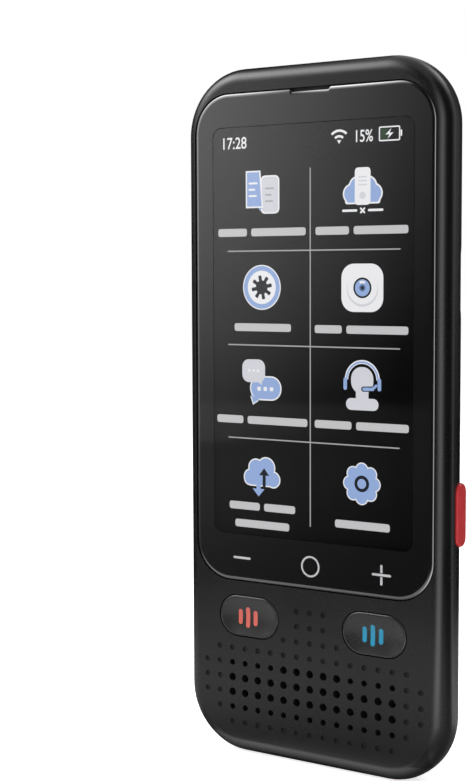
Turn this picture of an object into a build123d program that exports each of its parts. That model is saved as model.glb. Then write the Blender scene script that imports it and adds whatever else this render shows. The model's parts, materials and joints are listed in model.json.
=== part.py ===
from build123d import *
from math import cos, radians, sin
import os

# Handheld translator: a slim two-shell housing with a display, two talk keys over a speaker
# grille, a side key, a card slot, a rear camera and a lanyard loop in one bottom corner.
# Millimetres. X is to the right and Z is up for someone who looks at the display.
# The origin is at the centre of the bottom end. A "depth" is measured from the front face
# towards the back.

# ---- housing ----
BODY_W = 64.3
BODY_H = 150.4
BODY_T = 11.6
CORNER_R = 14.2
FRONT_ROUND = 3.4
BACK_ROUND = 7.2
SIDE_WALL = 1.5
FRONT_WALL = 2.2
BACK_WALL = 1.3
INNER_FRONT_ROUND = 1.2
PARTING = 6.4
SEAM = 0.25
LIP_INSET = 0.9
LIP_T = 0.7
LIP_H = 1.0
LIP_GAP = 0.1
EDGE_BREAK = 0.15

# ---- cover glass and display ----
GLASS_SIDE = 2.85
GLASS_END = 5.44
GLASS_BOTTOM = 38.86
GLASS_R = 8.6
GLASS_T = 1.1
GLASS_BEVEL = 0.4
GLASS_GAP = 0.15
TAPE_T = 0.2
TAPE_INSET = 0.3
NOTCH_W = 9.4
NOTCH_H = 0.6
SOUND_SLOT_W = 8.4
SOUND_SLOT_H = 0.5
SOUND_MESH_W = 9.0
SOUND_MESH_H = 0.85
ACTIVE_SIDE = 4.7
ACTIVE_BELOW = 10.34
ACTIVE_ABOVE = 7.26
PANEL_EDGE = 1.2
PANEL_TAIL = 2.4
PANEL_T = 1.5
PAN_T = 0.25
PAN_WALL_H = 1.2
PAN_GAP = 0.1
WINDOW_GAP = 0.5
WINDOW_ROUND = 1.5

# ---- talk keys ----
TALK_SIDE = 13.7
TALK_Z = 31.0
TALK_W = 15.1
TALK_H = 9.0
TALK_PROUD = 0.1
TALK_DISH = 0.45
TALK_RIM = 0.5
TALK_RIM_FILLET = 0.35
TALK_TRAVEL = 0.4
KEY_GAP = 0.2
FLANGE_REACH = 1.1
FLANGE_T = 0.7
FLANGE_GAP = 0.15
BAR_W = 1.1
BAR_PITCH = 1.95
BAR_SHORT = 3.4
BAR_LONG = 4.6
BAR_BASE_W = 6.6
BAR_BASE_H = 6.0
BAR_BASE_T = 0.55
BARS_LEFT = 0.4
BARS_DOWN = 0.25
INSERT_GAP = 0.03
SWITCH_W = 6.0
SWITCH_T = 1.3
PLUNGER_R = 1.1
PLUNGER_GAP = 0.2
PLUNGER_STOP = 0.15
PLUNGER_PLAY = 0.1

# ---- speaker grille ----
GRILLE_PITCH = 3.33
GRILLE_TOP = 20.34
GRILLE_ROWS = 4
GRILLE_REACH = 6
BIG_HOLE_R = 0.86
SMALL_HOLE_R = 0.66
BIG_REACH = {0: 2, 1: 6, 2: 6}
DIMPLE_R = 0.6
DIMPLE_DEPTH = 0.2
DIMPLE_REACH = {-4: 1, -3: 1, -2: 2, -1: 7, 0: 8, 1: 8, 2: 8, 3: 7, 4: 6}
MESH_W = 42.6
MESH_H = 13.2
MESH_T = 0.15
SPEAKER_W = 37.0
SPEAKER_H = 12.2
SPEAKER_T = 3.6
SPEAKER_RIM = 1.3
GASKET_T = 0.6
CONE_T = 0.2
CONE_SEAT = 0.5
CONE_RISE = 0.35
CONE_GAP = 0.05
CONE_LEDGE = 0.8
CONE_TAPER = 30
MAGNET_W = 24.0
MAGNET_H = 7.6
MAGNET_T = 2.2

# ---- side key ----
SIDE_Z = 56.8
SIDE_DEPTH = 6.2
SIDE_LEN = 13.2
SIDE_W = 4.0
SIDE_PROUD = 0.55
SIDE_FILLET = 0.45
SIDE_TRAVEL = 0.35
SIDE_GAP = 0.15
SIDE_FLANGE_REACH = 0.5
SIDE_FLANGE_INSET = 4.25
SIDE_FLANGE_T = 0.8
SIDE_PLUNGER_R = 0.8
SIDE_SWITCH_L = 6.0
SIDE_SWITCH_W = 3.4
SIDE_SWITCH_T = 1.8
SIDE_BOARD_T = 0.6
SIDE_BOARD_L = 15.0
SIDE_BOARD_W = 4.4
SIDE_TAB_T = 0.8
SIDE_TAB_END = 8.6
SIDE_SWITCH_GAP = 1.0

# ---- card slot in the side ----
CARD_FROM_TOP = 46.0
RECESS_CHORD = 15.6
RECESS_SAGITTA = 2.9
RECESS_INSET = 3.05
RECESS_TAPER = 12
RECESS_WALL = 1.4
CARD_W = 12.0
CARD_L = 15.0
CARD_T = 0.76
CARD_DEPTH = 7.15
CARD_NICK = 2.5
CARD_PROUD = 0.8
CARD_CLEAR = 0.15
CARD_PUSH = 0.9
SOCKET_WALL = 0.3
SOCKET_SIDE = 0.7
SOCKET_BACK = 1.4

# ---- lanyard loop ----
LANYARD_ANGLE = 46.5
LANYARD_INSET = 1.0
POST_R = 2.3
TUNNEL_R = 5.6
TUNNEL_DEPTH = 2.8
TUNNEL_FILLET = 0.9
TUNNEL_WALL = 1.2
GUSSET_T = 1.5

# ---- rear camera ----
CAMERA_X = -1.8
CAMERA_FROM_TOP = 16.8
RING_R = 6.2
RING_PROUD = 0.9
RING_EDGE = 0.6
RING_SEAT = 0.2
RING_BORE_R = 5.45
SPIGOT_R = 5.8
SPIGOT_GAP = 0.1
SPIGOT_END = 10.0
SPIGOT_BORE_R = 4.85
PANE_T = 0.6
PANE_DROP = 0.25
SHROUD_R = 4.75
SHROUD_MOUTH_R = 4.3
SHROUD_STEP_R = 3.6
SHROUD_THROAT_R = 2.6
SHROUD_STEP_DROP = 0.35
SHROUD_DROP = 0.1
CAMERA_SIZE = 8.6
CAMERA_GAP = 0.7
CAMERA_BODY_END = 9.4
BARREL_R = 2.9
BARREL_END = 10.55
LENS_R = 2.35
LENS_RISE = 0.55

# ---- chassis, boards and battery ----
CHASSIS_DEPTH = 3.15
CHASSIS_T = 0.8
CHASSIS_GAP = 0.3
BOSS_R = 1.9
SCREW_R = 0.7
SCREW_GAP = 0.06
SCREW_HEAD_R = 1.3
SCREW_HEAD_T = 0.6
SCREW_BITE = 1.3
END_SCREW_INSET = 3.8
TOP_SCREW_SIDE = 11.65
SIDE_SCREW_INSET = 5.25
SIDE_SCREW_Z = 36.0
BOTTOM_SCREW_SIDE = 14.15
BOTTOM_SCREW_Z = 4.2
BOARD_DEPTH = 5.6
BOARD_T = 0.8
BOARD_INSET = 2.6
MAIN_SIDE_GAP = 0.4
MAIN_TOP_INSET = 5.8
MAIN_L = 50.6
BOARD_SCREW_SIDE = 3.2
MAIN_SCREW_TOP = 3.6
MAIN_SCREW_BOTTOM = 1.9
LINK_SIDE = 5.8
IO_SIDE = 3.65
IO_TOP = 43.6
IO_SCREW_SIDE = 2.4
IO_SCREW_TOP = 2.6
IO_SCREW_LOW_Z = 11.0
IO_LINK_SIDE = 6.0
IO_CLEAR = 0.3
BATTERY_SIDE = 7.65
BATTERY_TAB_GAP = 0.9
BATTERY_BELOW = 1.8
BATTERY_ABOVE = 2.2
BATTERY_T = 5.6
BATTERY_TAPE_T = 0.15
BATTERY_TAPE_SIZE = 32.0
BATTERY_ROUND = 1.2
CELL_BOARD_W = 30.0
CELL_BOARD_H = 1.6
CELL_BOARD_T = 2.4
PAD_W = 30.0
PAD_H = 24.0
CAN_T = 1.4
CAN_WALL = 0.2
CAN_FRONT_X = -13.0
CAN_FRONT_FROM_BOTTOM = 15.0
CAN_FRONT_SIZE = 20.0
CAN_REAR_X = -13.5
CAN_REAR_FROM_BOTTOM = 18.0
CAN_REAR_SIZE = 24.0

# ---- microphones, port, antenna and links ----
MIC_W = 3.5
MIC_H = 2.6
MIC_T = 1.0
MIC_HOLE_R = 0.5
BOTTOM_MIC_X = 10.5
TOP_MIC_BELOW = 1.76
BOOT_WALL = 0.6
BOOT_START = 2.0
BOOT_GAP = 0.1
BOOT_BELOW = 1.16
BOOT_W = 10.0
BOOT_H = 3.8
BOOT_CHANNEL = 1.2
USB_W = 8.94
USB_T = 3.2
USB_L = 6.7
USB_MOUTH = 0.95
USB_DEPTH = 6.0
USB_WALL = 0.3
USB_GAP = 0.3
USB_REACH = 3.2
USB_EAR_X = 5.07
USB_EAR_Z = 5.0
USB_EAR = 2.0
TONGUE_W = 6.7
TONGUE_T = 0.7
TONGUE_L = 5.2
ANTENNA_W = 15.0
ANTENNA_H = 12.0
ANTENNA_T = 0.15
ANTENNA_CAMERA_GAP = 1.0
ANTENNA_FROM_TOP = 22.4
FLEX_T = 0.15
LINK_W = 2.2
LINK_GAP = 0.5
LINK_PAD_L = 3.0
LINK_RISE = 2.0
FLEX_BEND = 0.6
TAIL_W = 14.0
TAIL_X = -14.5
TAIL_GAP = 0.4
TAIL_START = 2.45
TAIL_RISE = 2.1
TAIL_PAD_L = 7.0
TAIL_SLOT_H = 2.6

# ---- sizes worked out from the ones above ----
FRONT_Y = -BODY_T / 2
GLASS_W = BODY_W - 2 * GLASS_SIDE
GLASS_TOP = BODY_H - GLASS_END
GLASS_H = GLASS_TOP - GLASS_BOTTOM
GLASS_Z = GLASS_BOTTOM + GLASS_H / 2
ACTIVE_W = GLASS_W - 2 * ACTIVE_SIDE
ACTIVE_BOTTOM = GLASS_BOTTOM + ACTIVE_BELOW
ACTIVE_TOP = GLASS_TOP - ACTIVE_ABOVE
TALK_X = GLASS_W / 2 - TALK_SIDE
LEDGE_DEPTH = GLASS_T + TAPE_T
PANEL_W = ACTIVE_W + 2 * PANEL_EDGE
PANEL_BOTTOM = ACTIVE_BOTTOM - PANEL_TAIL
PANEL_TOP = ACTIVE_TOP + PANEL_EDGE
PANEL_H = PANEL_TOP - PANEL_BOTTOM
PANEL_Z = (PANEL_TOP + PANEL_BOTTOM) / 2
PAN_W = PANEL_W + 2 * (PAN_GAP + PAN_T)
PAN_H = PANEL_H + 2 * (PAN_GAP + PAN_T)
PAN_BACK = GLASS_T + PANEL_T + PAN_T
WINDOW_W = PAN_W + 2 * WINDOW_GAP
WINDOW_H = PAN_H + 2 * WINDOW_GAP
NOTCH_Z = GLASS_TOP - NOTCH_H / 2
CHASSIS_BACK = CHASSIS_DEPTH + CHASSIS_T
BOARD_BACK = BOARD_DEPTH + BOARD_T
INNER_BACK = BODY_T - BACK_WALL
FLANGE_DEPTH = FRONT_WALL + FLANGE_GAP
FLANGE_BACK = FLANGE_DEPTH + FLANGE_T
GRILLE_MID = GRILLE_TOP - GRILLE_PITCH * (GRILLE_ROWS - 1) / 2
SPEAKER_DEPTH = FRONT_WALL + MESH_T + GASKET_T
SPEAKER_BACK = SPEAKER_DEPTH + SPEAKER_T
CONE_W = SPEAKER_W - 2 * SPEAKER_RIM
CONE_H = SPEAKER_H - 2 * SPEAKER_RIM
CONE_BACK = SPEAKER_DEPTH + CONE_SEAT + CONE_T
MAGNET_DEPTH = SPEAKER_BACK - MAGNET_T
DISH_REACH = TALK_H / 2 - TALK_RIM
DISH_R = (DISH_REACH**2 + TALK_DISH**2) / (2 * TALK_DISH)
DISH_Y = FRONT_Y - TALK_PROUD + TALK_DISH - DISH_R
BAR_BASE_DEPTH = FLANGE_BACK - BAR_BASE_T
SIDE_FLANGE_X = BODY_W / 2 - SIDE_FLANGE_INSET
SIDE_SWITCH_X = SIDE_FLANGE_X - SIDE_SWITCH_GAP - SIDE_SWITCH_T
SIDE_PLUNGER_END = SIDE_SWITCH_X + PLUNGER_STOP + PLUNGER_PLAY + SIDE_TRAVEL
SIDE_TAB_X = SIDE_SWITCH_X - SIDE_BOARD_T - SIDE_TAB_T
RECESS_R = (RECESS_CHORD**2 / 4 + RECESS_SAGITTA**2) / (2 * RECESS_SAGITTA)
RECESS_START = PARTING + SEAM
CARD_Z = BODY_H - CARD_FROM_TOP
RECESS_FLOOR_X = BODY_W / 2 - RECESS_INSET
CARD_INNER_X = RECESS_FLOOR_X + CARD_PROUD - CARD_L
CARD_BLOCK_X = RECESS_FLOOR_X - RECESS_WALL
CARD_BLOCK_W = RECESS_CHORD + 2 * RECESS_WALL
MAIN_W = 2 * (CARD_BLOCK_X - MAIN_SIDE_GAP)
MAIN_TOP = BODY_H - MAIN_TOP_INSET
MAIN_BOTTOM = MAIN_TOP - MAIN_L
IO_W = BODY_W - 2 * IO_SIDE
SOCKET_X = CARD_INNER_X - CARD_PUSH - CARD_CLEAR - SOCKET_BACK
SOCKET_MOUTH = MAIN_W / 2
SOCKET_W = CARD_W + 2 * (CARD_CLEAR + SOCKET_SIDE)
SOCKET_END = CARD_DEPTH + CARD_T / 2 + CARD_CLEAR + SOCKET_WALL
LANYARD_REACH = CORNER_R - LANYARD_INSET
LANYARD_X = BODY_W / 2 - CORNER_R + LANYARD_REACH * cos(radians(LANYARD_ANGLE))
LANYARD_Z = CORNER_R - LANYARD_REACH * sin(radians(LANYARD_ANGLE))
TUNNEL_BLOCK_R = TUNNEL_R + TUNNEL_WALL
CAMERA_Z = BODY_H - CAMERA_FROM_TOP
RING_TOP = BODY_T + RING_PROUD
PANE_TOP = RING_TOP - PANE_DROP
PANE_BACK = PANE_TOP - PANE_T
SHROUD_TOP = PANE_BACK - SHROUD_DROP
SHROUD_BORE_R = BARREL_R + SPIGOT_GAP
LENS_CROWN_R = (LENS_R**2 + LENS_RISE**2) / (2 * LENS_RISE)
BATTERY_LEFT = BATTERY_SIDE - BODY_W / 2
BATTERY_RIGHT = SIDE_TAB_X - BATTERY_TAB_GAP
BATTERY_BOTTOM = IO_TOP + BATTERY_BELOW
BATTERY_TOP = MAIN_BOTTOM - BATTERY_ABOVE
BATTERY_X = (BATTERY_LEFT + BATTERY_RIGHT) / 2
BATTERY_Z = (BATTERY_BOTTOM + BATTERY_TOP) / 2
BATTERY_DEPTH = CHASSIS_BACK + BATTERY_TAPE_T
BATTERY_BACK = BATTERY_DEPTH + BATTERY_T
BATTERY_MID = BATTERY_DEPTH + BATTERY_T / 2
CHASSIS_INSET = SIDE_WALL + CHASSIS_GAP
SIDE_NOTCH_W = BODY_W - 2 * (SIDE_FLANGE_X - SIDE_TRAVEL - CHASSIS_GAP)
SIDE_NOTCH_H = SIDE_LEN + 2 * (SIDE_FLANGE_REACH + CHASSIS_GAP)
KEY_OPENING_W = TALK_W + 2 * (FLANGE_REACH + CHASSIS_GAP)
KEY_OPENING_H = TALK_H + 2 * (FLANGE_REACH + CHASSIS_GAP)
TALK_PLUNGER_END = BOARD_DEPTH - PLUNGER_STOP - PLUNGER_PLAY - TALK_TRAVEL
USB_END = USB_MOUTH + USB_L
BOTTOM_MIC_Z = BOARD_INSET + MIC_H / 2
BOTTOM_MIC_DEPTH = BOARD_DEPTH - MIC_T / 2

TOP_MIC_Z = GLASS_TOP - TOP_MIC_BELOW
BOOT_Z = GLASS_TOP - BOOT_BELOW
TAIL_TURN_Z = PANEL_TOP + TAIL_RISE
ANTENNA_RIGHT = CAMERA_X - RING_R - ANTENNA_CAMERA_GAP
LINK_X = BATTERY_LEFT - LINK_GAP - LINK_W / 2
CHASSIS_SCREWS = [
    (side * x, z)
    for side in (1, -1)
    for x, z in (
        (BODY_W / 2 - TOP_SCREW_SIDE, BODY_H - END_SCREW_INSET),
        (BODY_W / 2 - SIDE_SCREW_INSET, SIDE_SCREW_Z),
        (BODY_W / 2 - BOTTOM_SCREW_SIDE, BOTTOM_SCREW_Z),
    )
]
MAIN_SCREWS = [
    (MAIN_W / 2 - BOARD_SCREW_SIDE, MAIN_TOP - MAIN_SCREW_TOP),
    (BOARD_SCREW_SIDE - MAIN_W / 2, MAIN_TOP - MAIN_SCREW_TOP),
    (MAIN_W / 2 - BOARD_SCREW_SIDE, MAIN_BOTTOM + MAIN_SCREW_BOTTOM),
    (LINK_SIDE - MAIN_W / 2, MAIN_BOTTOM + MAIN_SCREW_BOTTOM),
]
IO_SCREWS = [
    (IO_W / 2 - IO_SCREW_SIDE, IO_TOP - IO_SCREW_TOP),
    (IO_LINK_SIDE - IO_W / 2, IO_TOP - IO_SCREW_TOP),
    (IO_SCREW_SIDE - IO_W / 2, IO_SCREW_LOW_Z),
]

os.makedirs("parts", exist_ok=True)


def at_depth(depth):
    """Sketch plane that faces the user, at a depth behind the front face."""
    return Plane.XZ.offset(BODY_T / 2 - depth)


def at_side(x):
    """Sketch plane that looks out of the right-hand side: local x is +Y and local y is +Z."""
    return Plane.YZ.offset(x)


def side_y(depth):
    """Y coordinate of a depth, for sketches on the side and end planes."""
    return FRONT_Y + depth


def envelope(inset, front=None, back=None):
    """The body's outer block drawn in by an even inset, or by its own front and back walls."""
    front_wall = inset if front is None else front
    back_wall = inset if back is None else back
    front_round = FRONT_ROUND - inset if front is None else INNER_FRONT_ROUND
    with BuildPart() as block:
        with BuildSketch(at_depth(front_wall)):
            with Locations((0, BODY_H / 2)):
                RectangleRounded(BODY_W - 2 * inset, BODY_H - 2 * inset, CORNER_R - inset)
        extrude(amount=front_wall + back_wall - BODY_T)
        fillet(block.faces().sort_by(Axis.Y)[0].edges(), front_round)
        fillet(block.faces().sort_by(Axis.Y)[-1].edges(), BACK_ROUND - back_wall)
    return block.part


def slice_of(solid, near, far):
    """The part of a solid between two depths."""
    with BuildPart() as piece:
        add(solid)
        split(bisect_by=at_depth(near), keep=Keep.BOTTOM)
        split(bisect_by=at_depth(far), keep=Keep.TOP)
    return piece.part


def disc(x, z, radius, near, far):
    """A round bar that runs through the thickness between two depths."""
    with BuildPart() as bar:
        with BuildSketch(at_depth(near)):
            with Locations((x, z)):
                Circle(radius)
        extrude(amount=near - far)
    return bar.part


def block_at(x, z, width, height, near, far, radius=0.4):
    """A rounded rectangular block between two depths."""
    with BuildPart() as block:
        with BuildSketch(at_depth(near)):
            with Locations((x, z)):
                RectangleRounded(width, height, radius)
        extrude(amount=near - far)
    return block.part


def slot_at(x, z, width, height, near, far):
    """A round-ended block between two depths."""
    with BuildPart() as block:
        with BuildSketch(at_depth(near)):
            with Locations((x, z)):
                SlotOverall(width, height)
        extrude(amount=near - far)
    return block.part


def side_slot(length, width, inner_x, outer_x):
    """A round-ended block across the side key's place, between two X coordinates."""
    with BuildPart() as block:
        with BuildSketch(at_side(inner_x)):
            with Locations((side_y(SIDE_DEPTH), SIDE_Z)):
                SlotOverall(length, width, rotation=90)
        extrude(amount=outer_x - inner_x)
    return block.part


def within(solid, limit):
    """The part of a solid that lies inside another."""
    with BuildPart() as common:
        add(solid)
        add(limit, mode=Mode.INTERSECT)
    return common.part


def finish(part, name):
    """Label a finished piece and write its file."""
    part.label = name
    export_step(part, "parts/" + name + ".step")


outer = envelope(0)
cavity = envelope(SIDE_WALL, FRONT_WALL, BACK_WALL)
lanyard_block = disc(LANYARD_X, LANYARD_Z, TUNNEL_BLOCK_R, 0, BODY_T)
card_block = block_at(
    (CARD_BLOCK_X + BODY_W / 2) / 2, CARD_Z, BODY_W / 2 - CARD_BLOCK_X, CARD_BLOCK_W, 0, BODY_T, 0.5
)
side_aperture = side_slot(
    SIDE_LEN + 2 * SIDE_GAP, SIDE_W + 2 * SIDE_GAP, SIDE_FLANGE_X, BODY_W / 2 + SIDE_PROUD
)

# The port's opening passes through the bottom wall of both shells.
with BuildPart() as port_aperture:
    with BuildSketch(Plane.XY):
        with Locations((0, side_y(USB_DEPTH))):
            SlotOverall(USB_W + 2 * USB_GAP, USB_T + 2 * USB_GAP)
    extrude(amount=USB_REACH)

# ---- front shell ----
# The lip enters the rear shell. It stops at the card slot and at the lanyard loop.
with BuildPart() as lip:
    add(slice_of(envelope(LIP_INSET), PARTING - LIP_H, PARTING + LIP_H))
    add(envelope(LIP_INSET + LIP_T), mode=Mode.SUBTRACT)
    add(lanyard_block, mode=Mode.SUBTRACT)
    add(card_block, mode=Mode.SUBTRACT)

with BuildPart() as front_shell:
    add(slice_of(outer, 0, PARTING))
    add(cavity, mode=Mode.SUBTRACT)
    add(lip.part)

    # Sill under the card slot and gusset under the lanyard loop close both from the front.
    add(within(slice_of(card_block, PARTING - GUSSET_T, PARTING), outer))
    add(within(slice_of(lanyard_block, PARTING - GUSSET_T, PARTING), outer))
    for x, z in CHASSIS_SCREWS:
        add(within(disc(x, z, BOSS_R, FRONT_WALL - EDGE_BREAK, CHASSIS_DEPTH), outer))

    # Pocket for the cover glass, with the display's window through its floor.
    with BuildSketch(at_depth(0)):
        with Locations((0, GLASS_Z)):
            RectangleRounded(GLASS_W + 2 * GLASS_GAP, GLASS_H + 2 * GLASS_GAP, GLASS_R + GLASS_GAP)
    extrude(amount=-LEDGE_DEPTH, mode=Mode.SUBTRACT)
    with BuildSketch(at_depth(LEDGE_DEPTH)):
        with Locations((0, PANEL_Z)):
            RectangleRounded(WINDOW_W, WINDOW_H, WINDOW_ROUND)
        with Locations((0, NOTCH_Z)):
            SlotOverall(SOUND_SLOT_W, SOUND_SLOT_H)
    extrude(amount=LEDGE_DEPTH - FRONT_WALL, mode=Mode.SUBTRACT)

    # Apertures for the talk keys.
    with BuildSketch(at_depth(0)):
        with Locations((TALK_X, TALK_Z), (-TALK_X, TALK_Z)):
            SlotOverall(TALK_W + 2 * KEY_GAP, TALK_H + 2 * KEY_GAP)
    extrude(amount=-FRONT_WALL, mode=Mode.SUBTRACT)

    # Grille: through holes in four rows, then shallow dimples that fade out around them.
    with BuildSketch(at_depth(0)):
        for row in range(GRILLE_ROWS):
            for column in range(-GRILLE_REACH, GRILLE_REACH + 1):
                with Locations((column * GRILLE_PITCH, GRILLE_TOP - row * GRILLE_PITCH)):
                    Circle(BIG_HOLE_R if abs(column) <= BIG_REACH.get(row, -1) else SMALL_HOLE_R)
    extrude(amount=-FRONT_WALL, mode=Mode.SUBTRACT)
    with BuildSketch(at_depth(0)):
        for row, reach in DIMPLE_REACH.items():
            for column in range(-reach, reach + 1):
                if row not in range(GRILLE_ROWS) or abs(column) > GRILLE_REACH:
                    with Locations((column * GRILLE_PITCH, GRILLE_TOP - row * GRILLE_PITCH)):
                        Circle(DIMPLE_R)
    extrude(amount=-DIMPLE_DEPTH, mode=Mode.SUBTRACT)

    add(side_aperture, mode=Mode.SUBTRACT)
    add(port_aperture.part, mode=Mode.SUBTRACT)
    for x, z in CHASSIS_SCREWS:
        add(disc(x, z, SCREW_R + SCREW_GAP, CHASSIS_DEPTH - SCREW_BITE, CHASSIS_DEPTH), mode=Mode.SUBTRACT)
    with BuildSketch(Plane.XY):
        with Locations((BOTTOM_MIC_X, side_y(BOTTOM_MIC_DEPTH))):
            Circle(MIC_HOLE_R)
    extrude(amount=SIDE_WALL + LIP_T, mode=Mode.SUBTRACT)
finish(front_shell.part, "front_shell")

# ---- cover glass and display ----
with BuildPart() as cover_glass:
    with BuildSketch(at_depth(0)):
        with Locations((0, GLASS_Z)):
            RectangleRounded(GLASS_W, GLASS_H, GLASS_R)
        with Locations((0, GLASS_TOP)):
            SlotOverall(NOTCH_W, 2 * NOTCH_H, mode=Mode.SUBTRACT)
    extrude(amount=-GLASS_T)
    chamfer(cover_glass.faces().sort_by(Axis.Y)[0].edges(), GLASS_BEVEL)
finish(cover_glass.part, "cover_glass")

with BuildPart() as glass_tape:
    with BuildSketch(at_depth(GLASS_T)):
        with Locations((0, GLASS_Z)):
            RectangleRounded(GLASS_W - 2 * TAPE_INSET, GLASS_H - 2 * TAPE_INSET, GLASS_R - TAPE_INSET)
        with Locations((0, PANEL_Z)):
            RectangleRounded(WINDOW_W, WINDOW_H, WINDOW_ROUND, mode=Mode.SUBTRACT)
        with Locations((0, NOTCH_Z)):
            Rectangle(SOUND_MESH_W + 2 * BOOT_GAP, SOUND_MESH_H + 2 * BOOT_GAP, mode=Mode.SUBTRACT)
    extrude(amount=-TAPE_T)
finish(glass_tape.part, "glass_tape")

with BuildPart() as display_panel:
    add(block_at(0, PANEL_Z, PANEL_W, PANEL_H, GLASS_T, GLASS_T + PANEL_T))
finish(display_panel.part, "display_panel")

# Folded steel tray around the panel's edges and back, notched for the tail.
with BuildPart() as display_pan:
    add(block_at(0, PANEL_Z, PAN_W, PAN_H, PAN_BACK - PAN_WALL_H, PAN_BACK))
    add(
        block_at(0, PANEL_Z, PAN_W - 2 * PAN_T, PAN_H - 2 * PAN_T, PAN_BACK - PAN_WALL_H, PAN_BACK - PAN_T),
        mode=Mode.SUBTRACT,
    )
    add(
        block_at(TAIL_X, PANEL_TOP, TAIL_W + 2 * TAIL_GAP, PAN_WALL_H, 0, PAN_BACK - PAN_T, 0.2),
        mode=Mode.SUBTRACT,
    )
finish(display_pan.part, "display_pan")

# Flexible tail from the panel's top edge, through the chassis, onto the main board.
with BuildPart() as display_tail:
    with BuildSketch(at_side(TAIL_X - TAIL_W / 2)):
        with BuildLine():
            FilletPolyline(
                (side_y(TAIL_START), PANEL_TOP),
                (side_y(TAIL_START), TAIL_TURN_Z),
                (side_y(BOARD_DEPTH - FLEX_T / 2), TAIL_TURN_Z),
                (side_y(BOARD_DEPTH - FLEX_T / 2), TAIL_TURN_Z - TAIL_PAD_L),
                radius=FLEX_BEND,
            )
        trace(line_width=FLEX_T)
    extrude(amount=TAIL_W)
finish(display_tail.part, "display_tail")

# ---- talk keys ----


def dish(x):
    """Long rounded tool that hollows a talk key's face: a bar with a ball at each end."""
    with BuildPart() as tool:
        with Locations((x, DISH_Y, TALK_Z)):
            Cylinder(DISH_R, TALK_W - TALK_H, rotation=(0, 90, 0))
        reach = (TALK_W - TALK_H) / 2
        with Locations((x - reach, DISH_Y, TALK_Z), (x + reach, DISH_Y, TALK_Z)):
            Sphere(DISH_R)
    return tool.part


def bars(x, gap):
    """The three upright bars and the plate behind them, each side drawn in by a gap."""
    with BuildPart() as lights:
        with BuildSketch(at_depth(-TALK_PROUD)):
            for column, height in ((-1, BAR_SHORT), (0, BAR_LONG), (1, BAR_SHORT)):
                with Locations((x - BARS_LEFT + column * BAR_PITCH, TALK_Z - BARS_DOWN)):
                    SlotOverall(height - 2 * gap, BAR_W - 2 * gap, rotation=90)
        extrude(amount=-(TALK_PROUD + BAR_BASE_DEPTH + gap))
        with BuildSketch(at_depth(BAR_BASE_DEPTH + gap)):
            with Locations((x - BARS_LEFT, TALK_Z - BARS_DOWN)):
                RectangleRounded(BAR_BASE_W - 2 * gap, BAR_BASE_H - 2 * gap, BAR_W)
        extrude(amount=gap - BAR_BASE_T)
    return lights.part


for side, x in (("left", -TALK_X), ("right", TALK_X)):
    with BuildPart() as talk_key:
        add(slot_at(x, TALK_Z, TALK_W, TALK_H, -TALK_PROUD, FLANGE_DEPTH))
        fillet(talk_key.faces().sort_by(Axis.Y)[0].edges(), TALK_RIM_FILLET)
        add(
            slot_at(
                x,
                TALK_Z,
                TALK_W + 2 * FLANGE_REACH,
                TALK_H + 2 * FLANGE_REACH,
                FLANGE_DEPTH,
                FLANGE_BACK,
            )
        )
        add(dish(x), mode=Mode.SUBTRACT)
        add(bars(x, 0), mode=Mode.SUBTRACT)
    finish(talk_key.part, "talk_key_" + side)

    with BuildPart() as talk_bars:
        add(bars(x, INSERT_GAP))
        add(dish(x), mode=Mode.SUBTRACT)
    finish(talk_bars.part, "talk_bars_" + side)

    with BuildPart() as talk_plunger:
        add(disc(x, TALK_Z, PLUNGER_R, FLANGE_BACK, TALK_PLUNGER_END))
    finish(talk_plunger.part, "talk_plunger_" + side)

with BuildPart() as talk_switches:
    for x in (-TALK_X, TALK_X):
        add(block_at(x, TALK_Z, SWITCH_W, SWITCH_W, BOARD_DEPTH - SWITCH_T, BOARD_DEPTH))
        add(
            disc(x, TALK_Z, PLUNGER_R + PLUNGER_GAP, BOARD_DEPTH - SWITCH_T, BOARD_DEPTH - PLUNGER_STOP),
            mode=Mode.SUBTRACT,
        )
finish(talk_switches.part, "talk_switches")

# ---- speaker behind the grille ----
with BuildPart() as speaker_mesh:
    add(block_at(0, GRILLE_MID, MESH_W, MESH_H, FRONT_WALL, FRONT_WALL + MESH_T))
finish(speaker_mesh.part, "speaker_mesh")

with BuildPart() as speaker_gasket:
    add(slot_at(0, GRILLE_MID, SPEAKER_W, SPEAKER_H, FRONT_WALL + MESH_T, SPEAKER_DEPTH))
    add(
        slot_at(0, GRILLE_MID, CONE_W + 2 * CONE_GAP, CONE_H + 2 * CONE_GAP, FRONT_WALL, SPEAKER_DEPTH),
        mode=Mode.SUBTRACT,
    )
finish(speaker_gasket.part, "speaker_gasket")

with BuildPart() as speaker_frame:
    add(slot_at(0, GRILLE_MID, SPEAKER_W, SPEAKER_H, SPEAKER_DEPTH, SPEAKER_BACK))
    add(
        slot_at(0, GRILLE_MID, CONE_W + 2 * CONE_GAP, CONE_H + 2 * CONE_GAP, SPEAKER_DEPTH, CONE_BACK),
        mode=Mode.SUBTRACT,
    )
    add(
        slot_at(0, GRILLE_MID, CONE_W - 2 * CONE_LEDGE, CONE_H - 2 * CONE_LEDGE, CONE_BACK, MAGNET_DEPTH),
        mode=Mode.SUBTRACT,
    )
    add(
        block_at(
            0, GRILLE_MID, MAGNET_W + 2 * CONE_GAP, MAGNET_H + 2 * CONE_GAP, MAGNET_DEPTH, SPEAKER_BACK
        ),
        mode=Mode.SUBTRACT,
    )
finish(speaker_frame.part, "speaker_frame")

with BuildPart() as speaker_cone:
    add(slot_at(0, GRILLE_MID, CONE_W, CONE_H, CONE_BACK - CONE_T, CONE_BACK))
    with BuildSketch(at_depth(CONE_BACK - CONE_T)):
        with Locations((0, GRILLE_MID)):
            SlotOverall(CONE_W - 2 * CONE_LEDGE, CONE_H - 2 * CONE_LEDGE)
    extrude(amount=CONE_RISE, taper=CONE_TAPER)
finish(speaker_cone.part, "speaker_cone")

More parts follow.
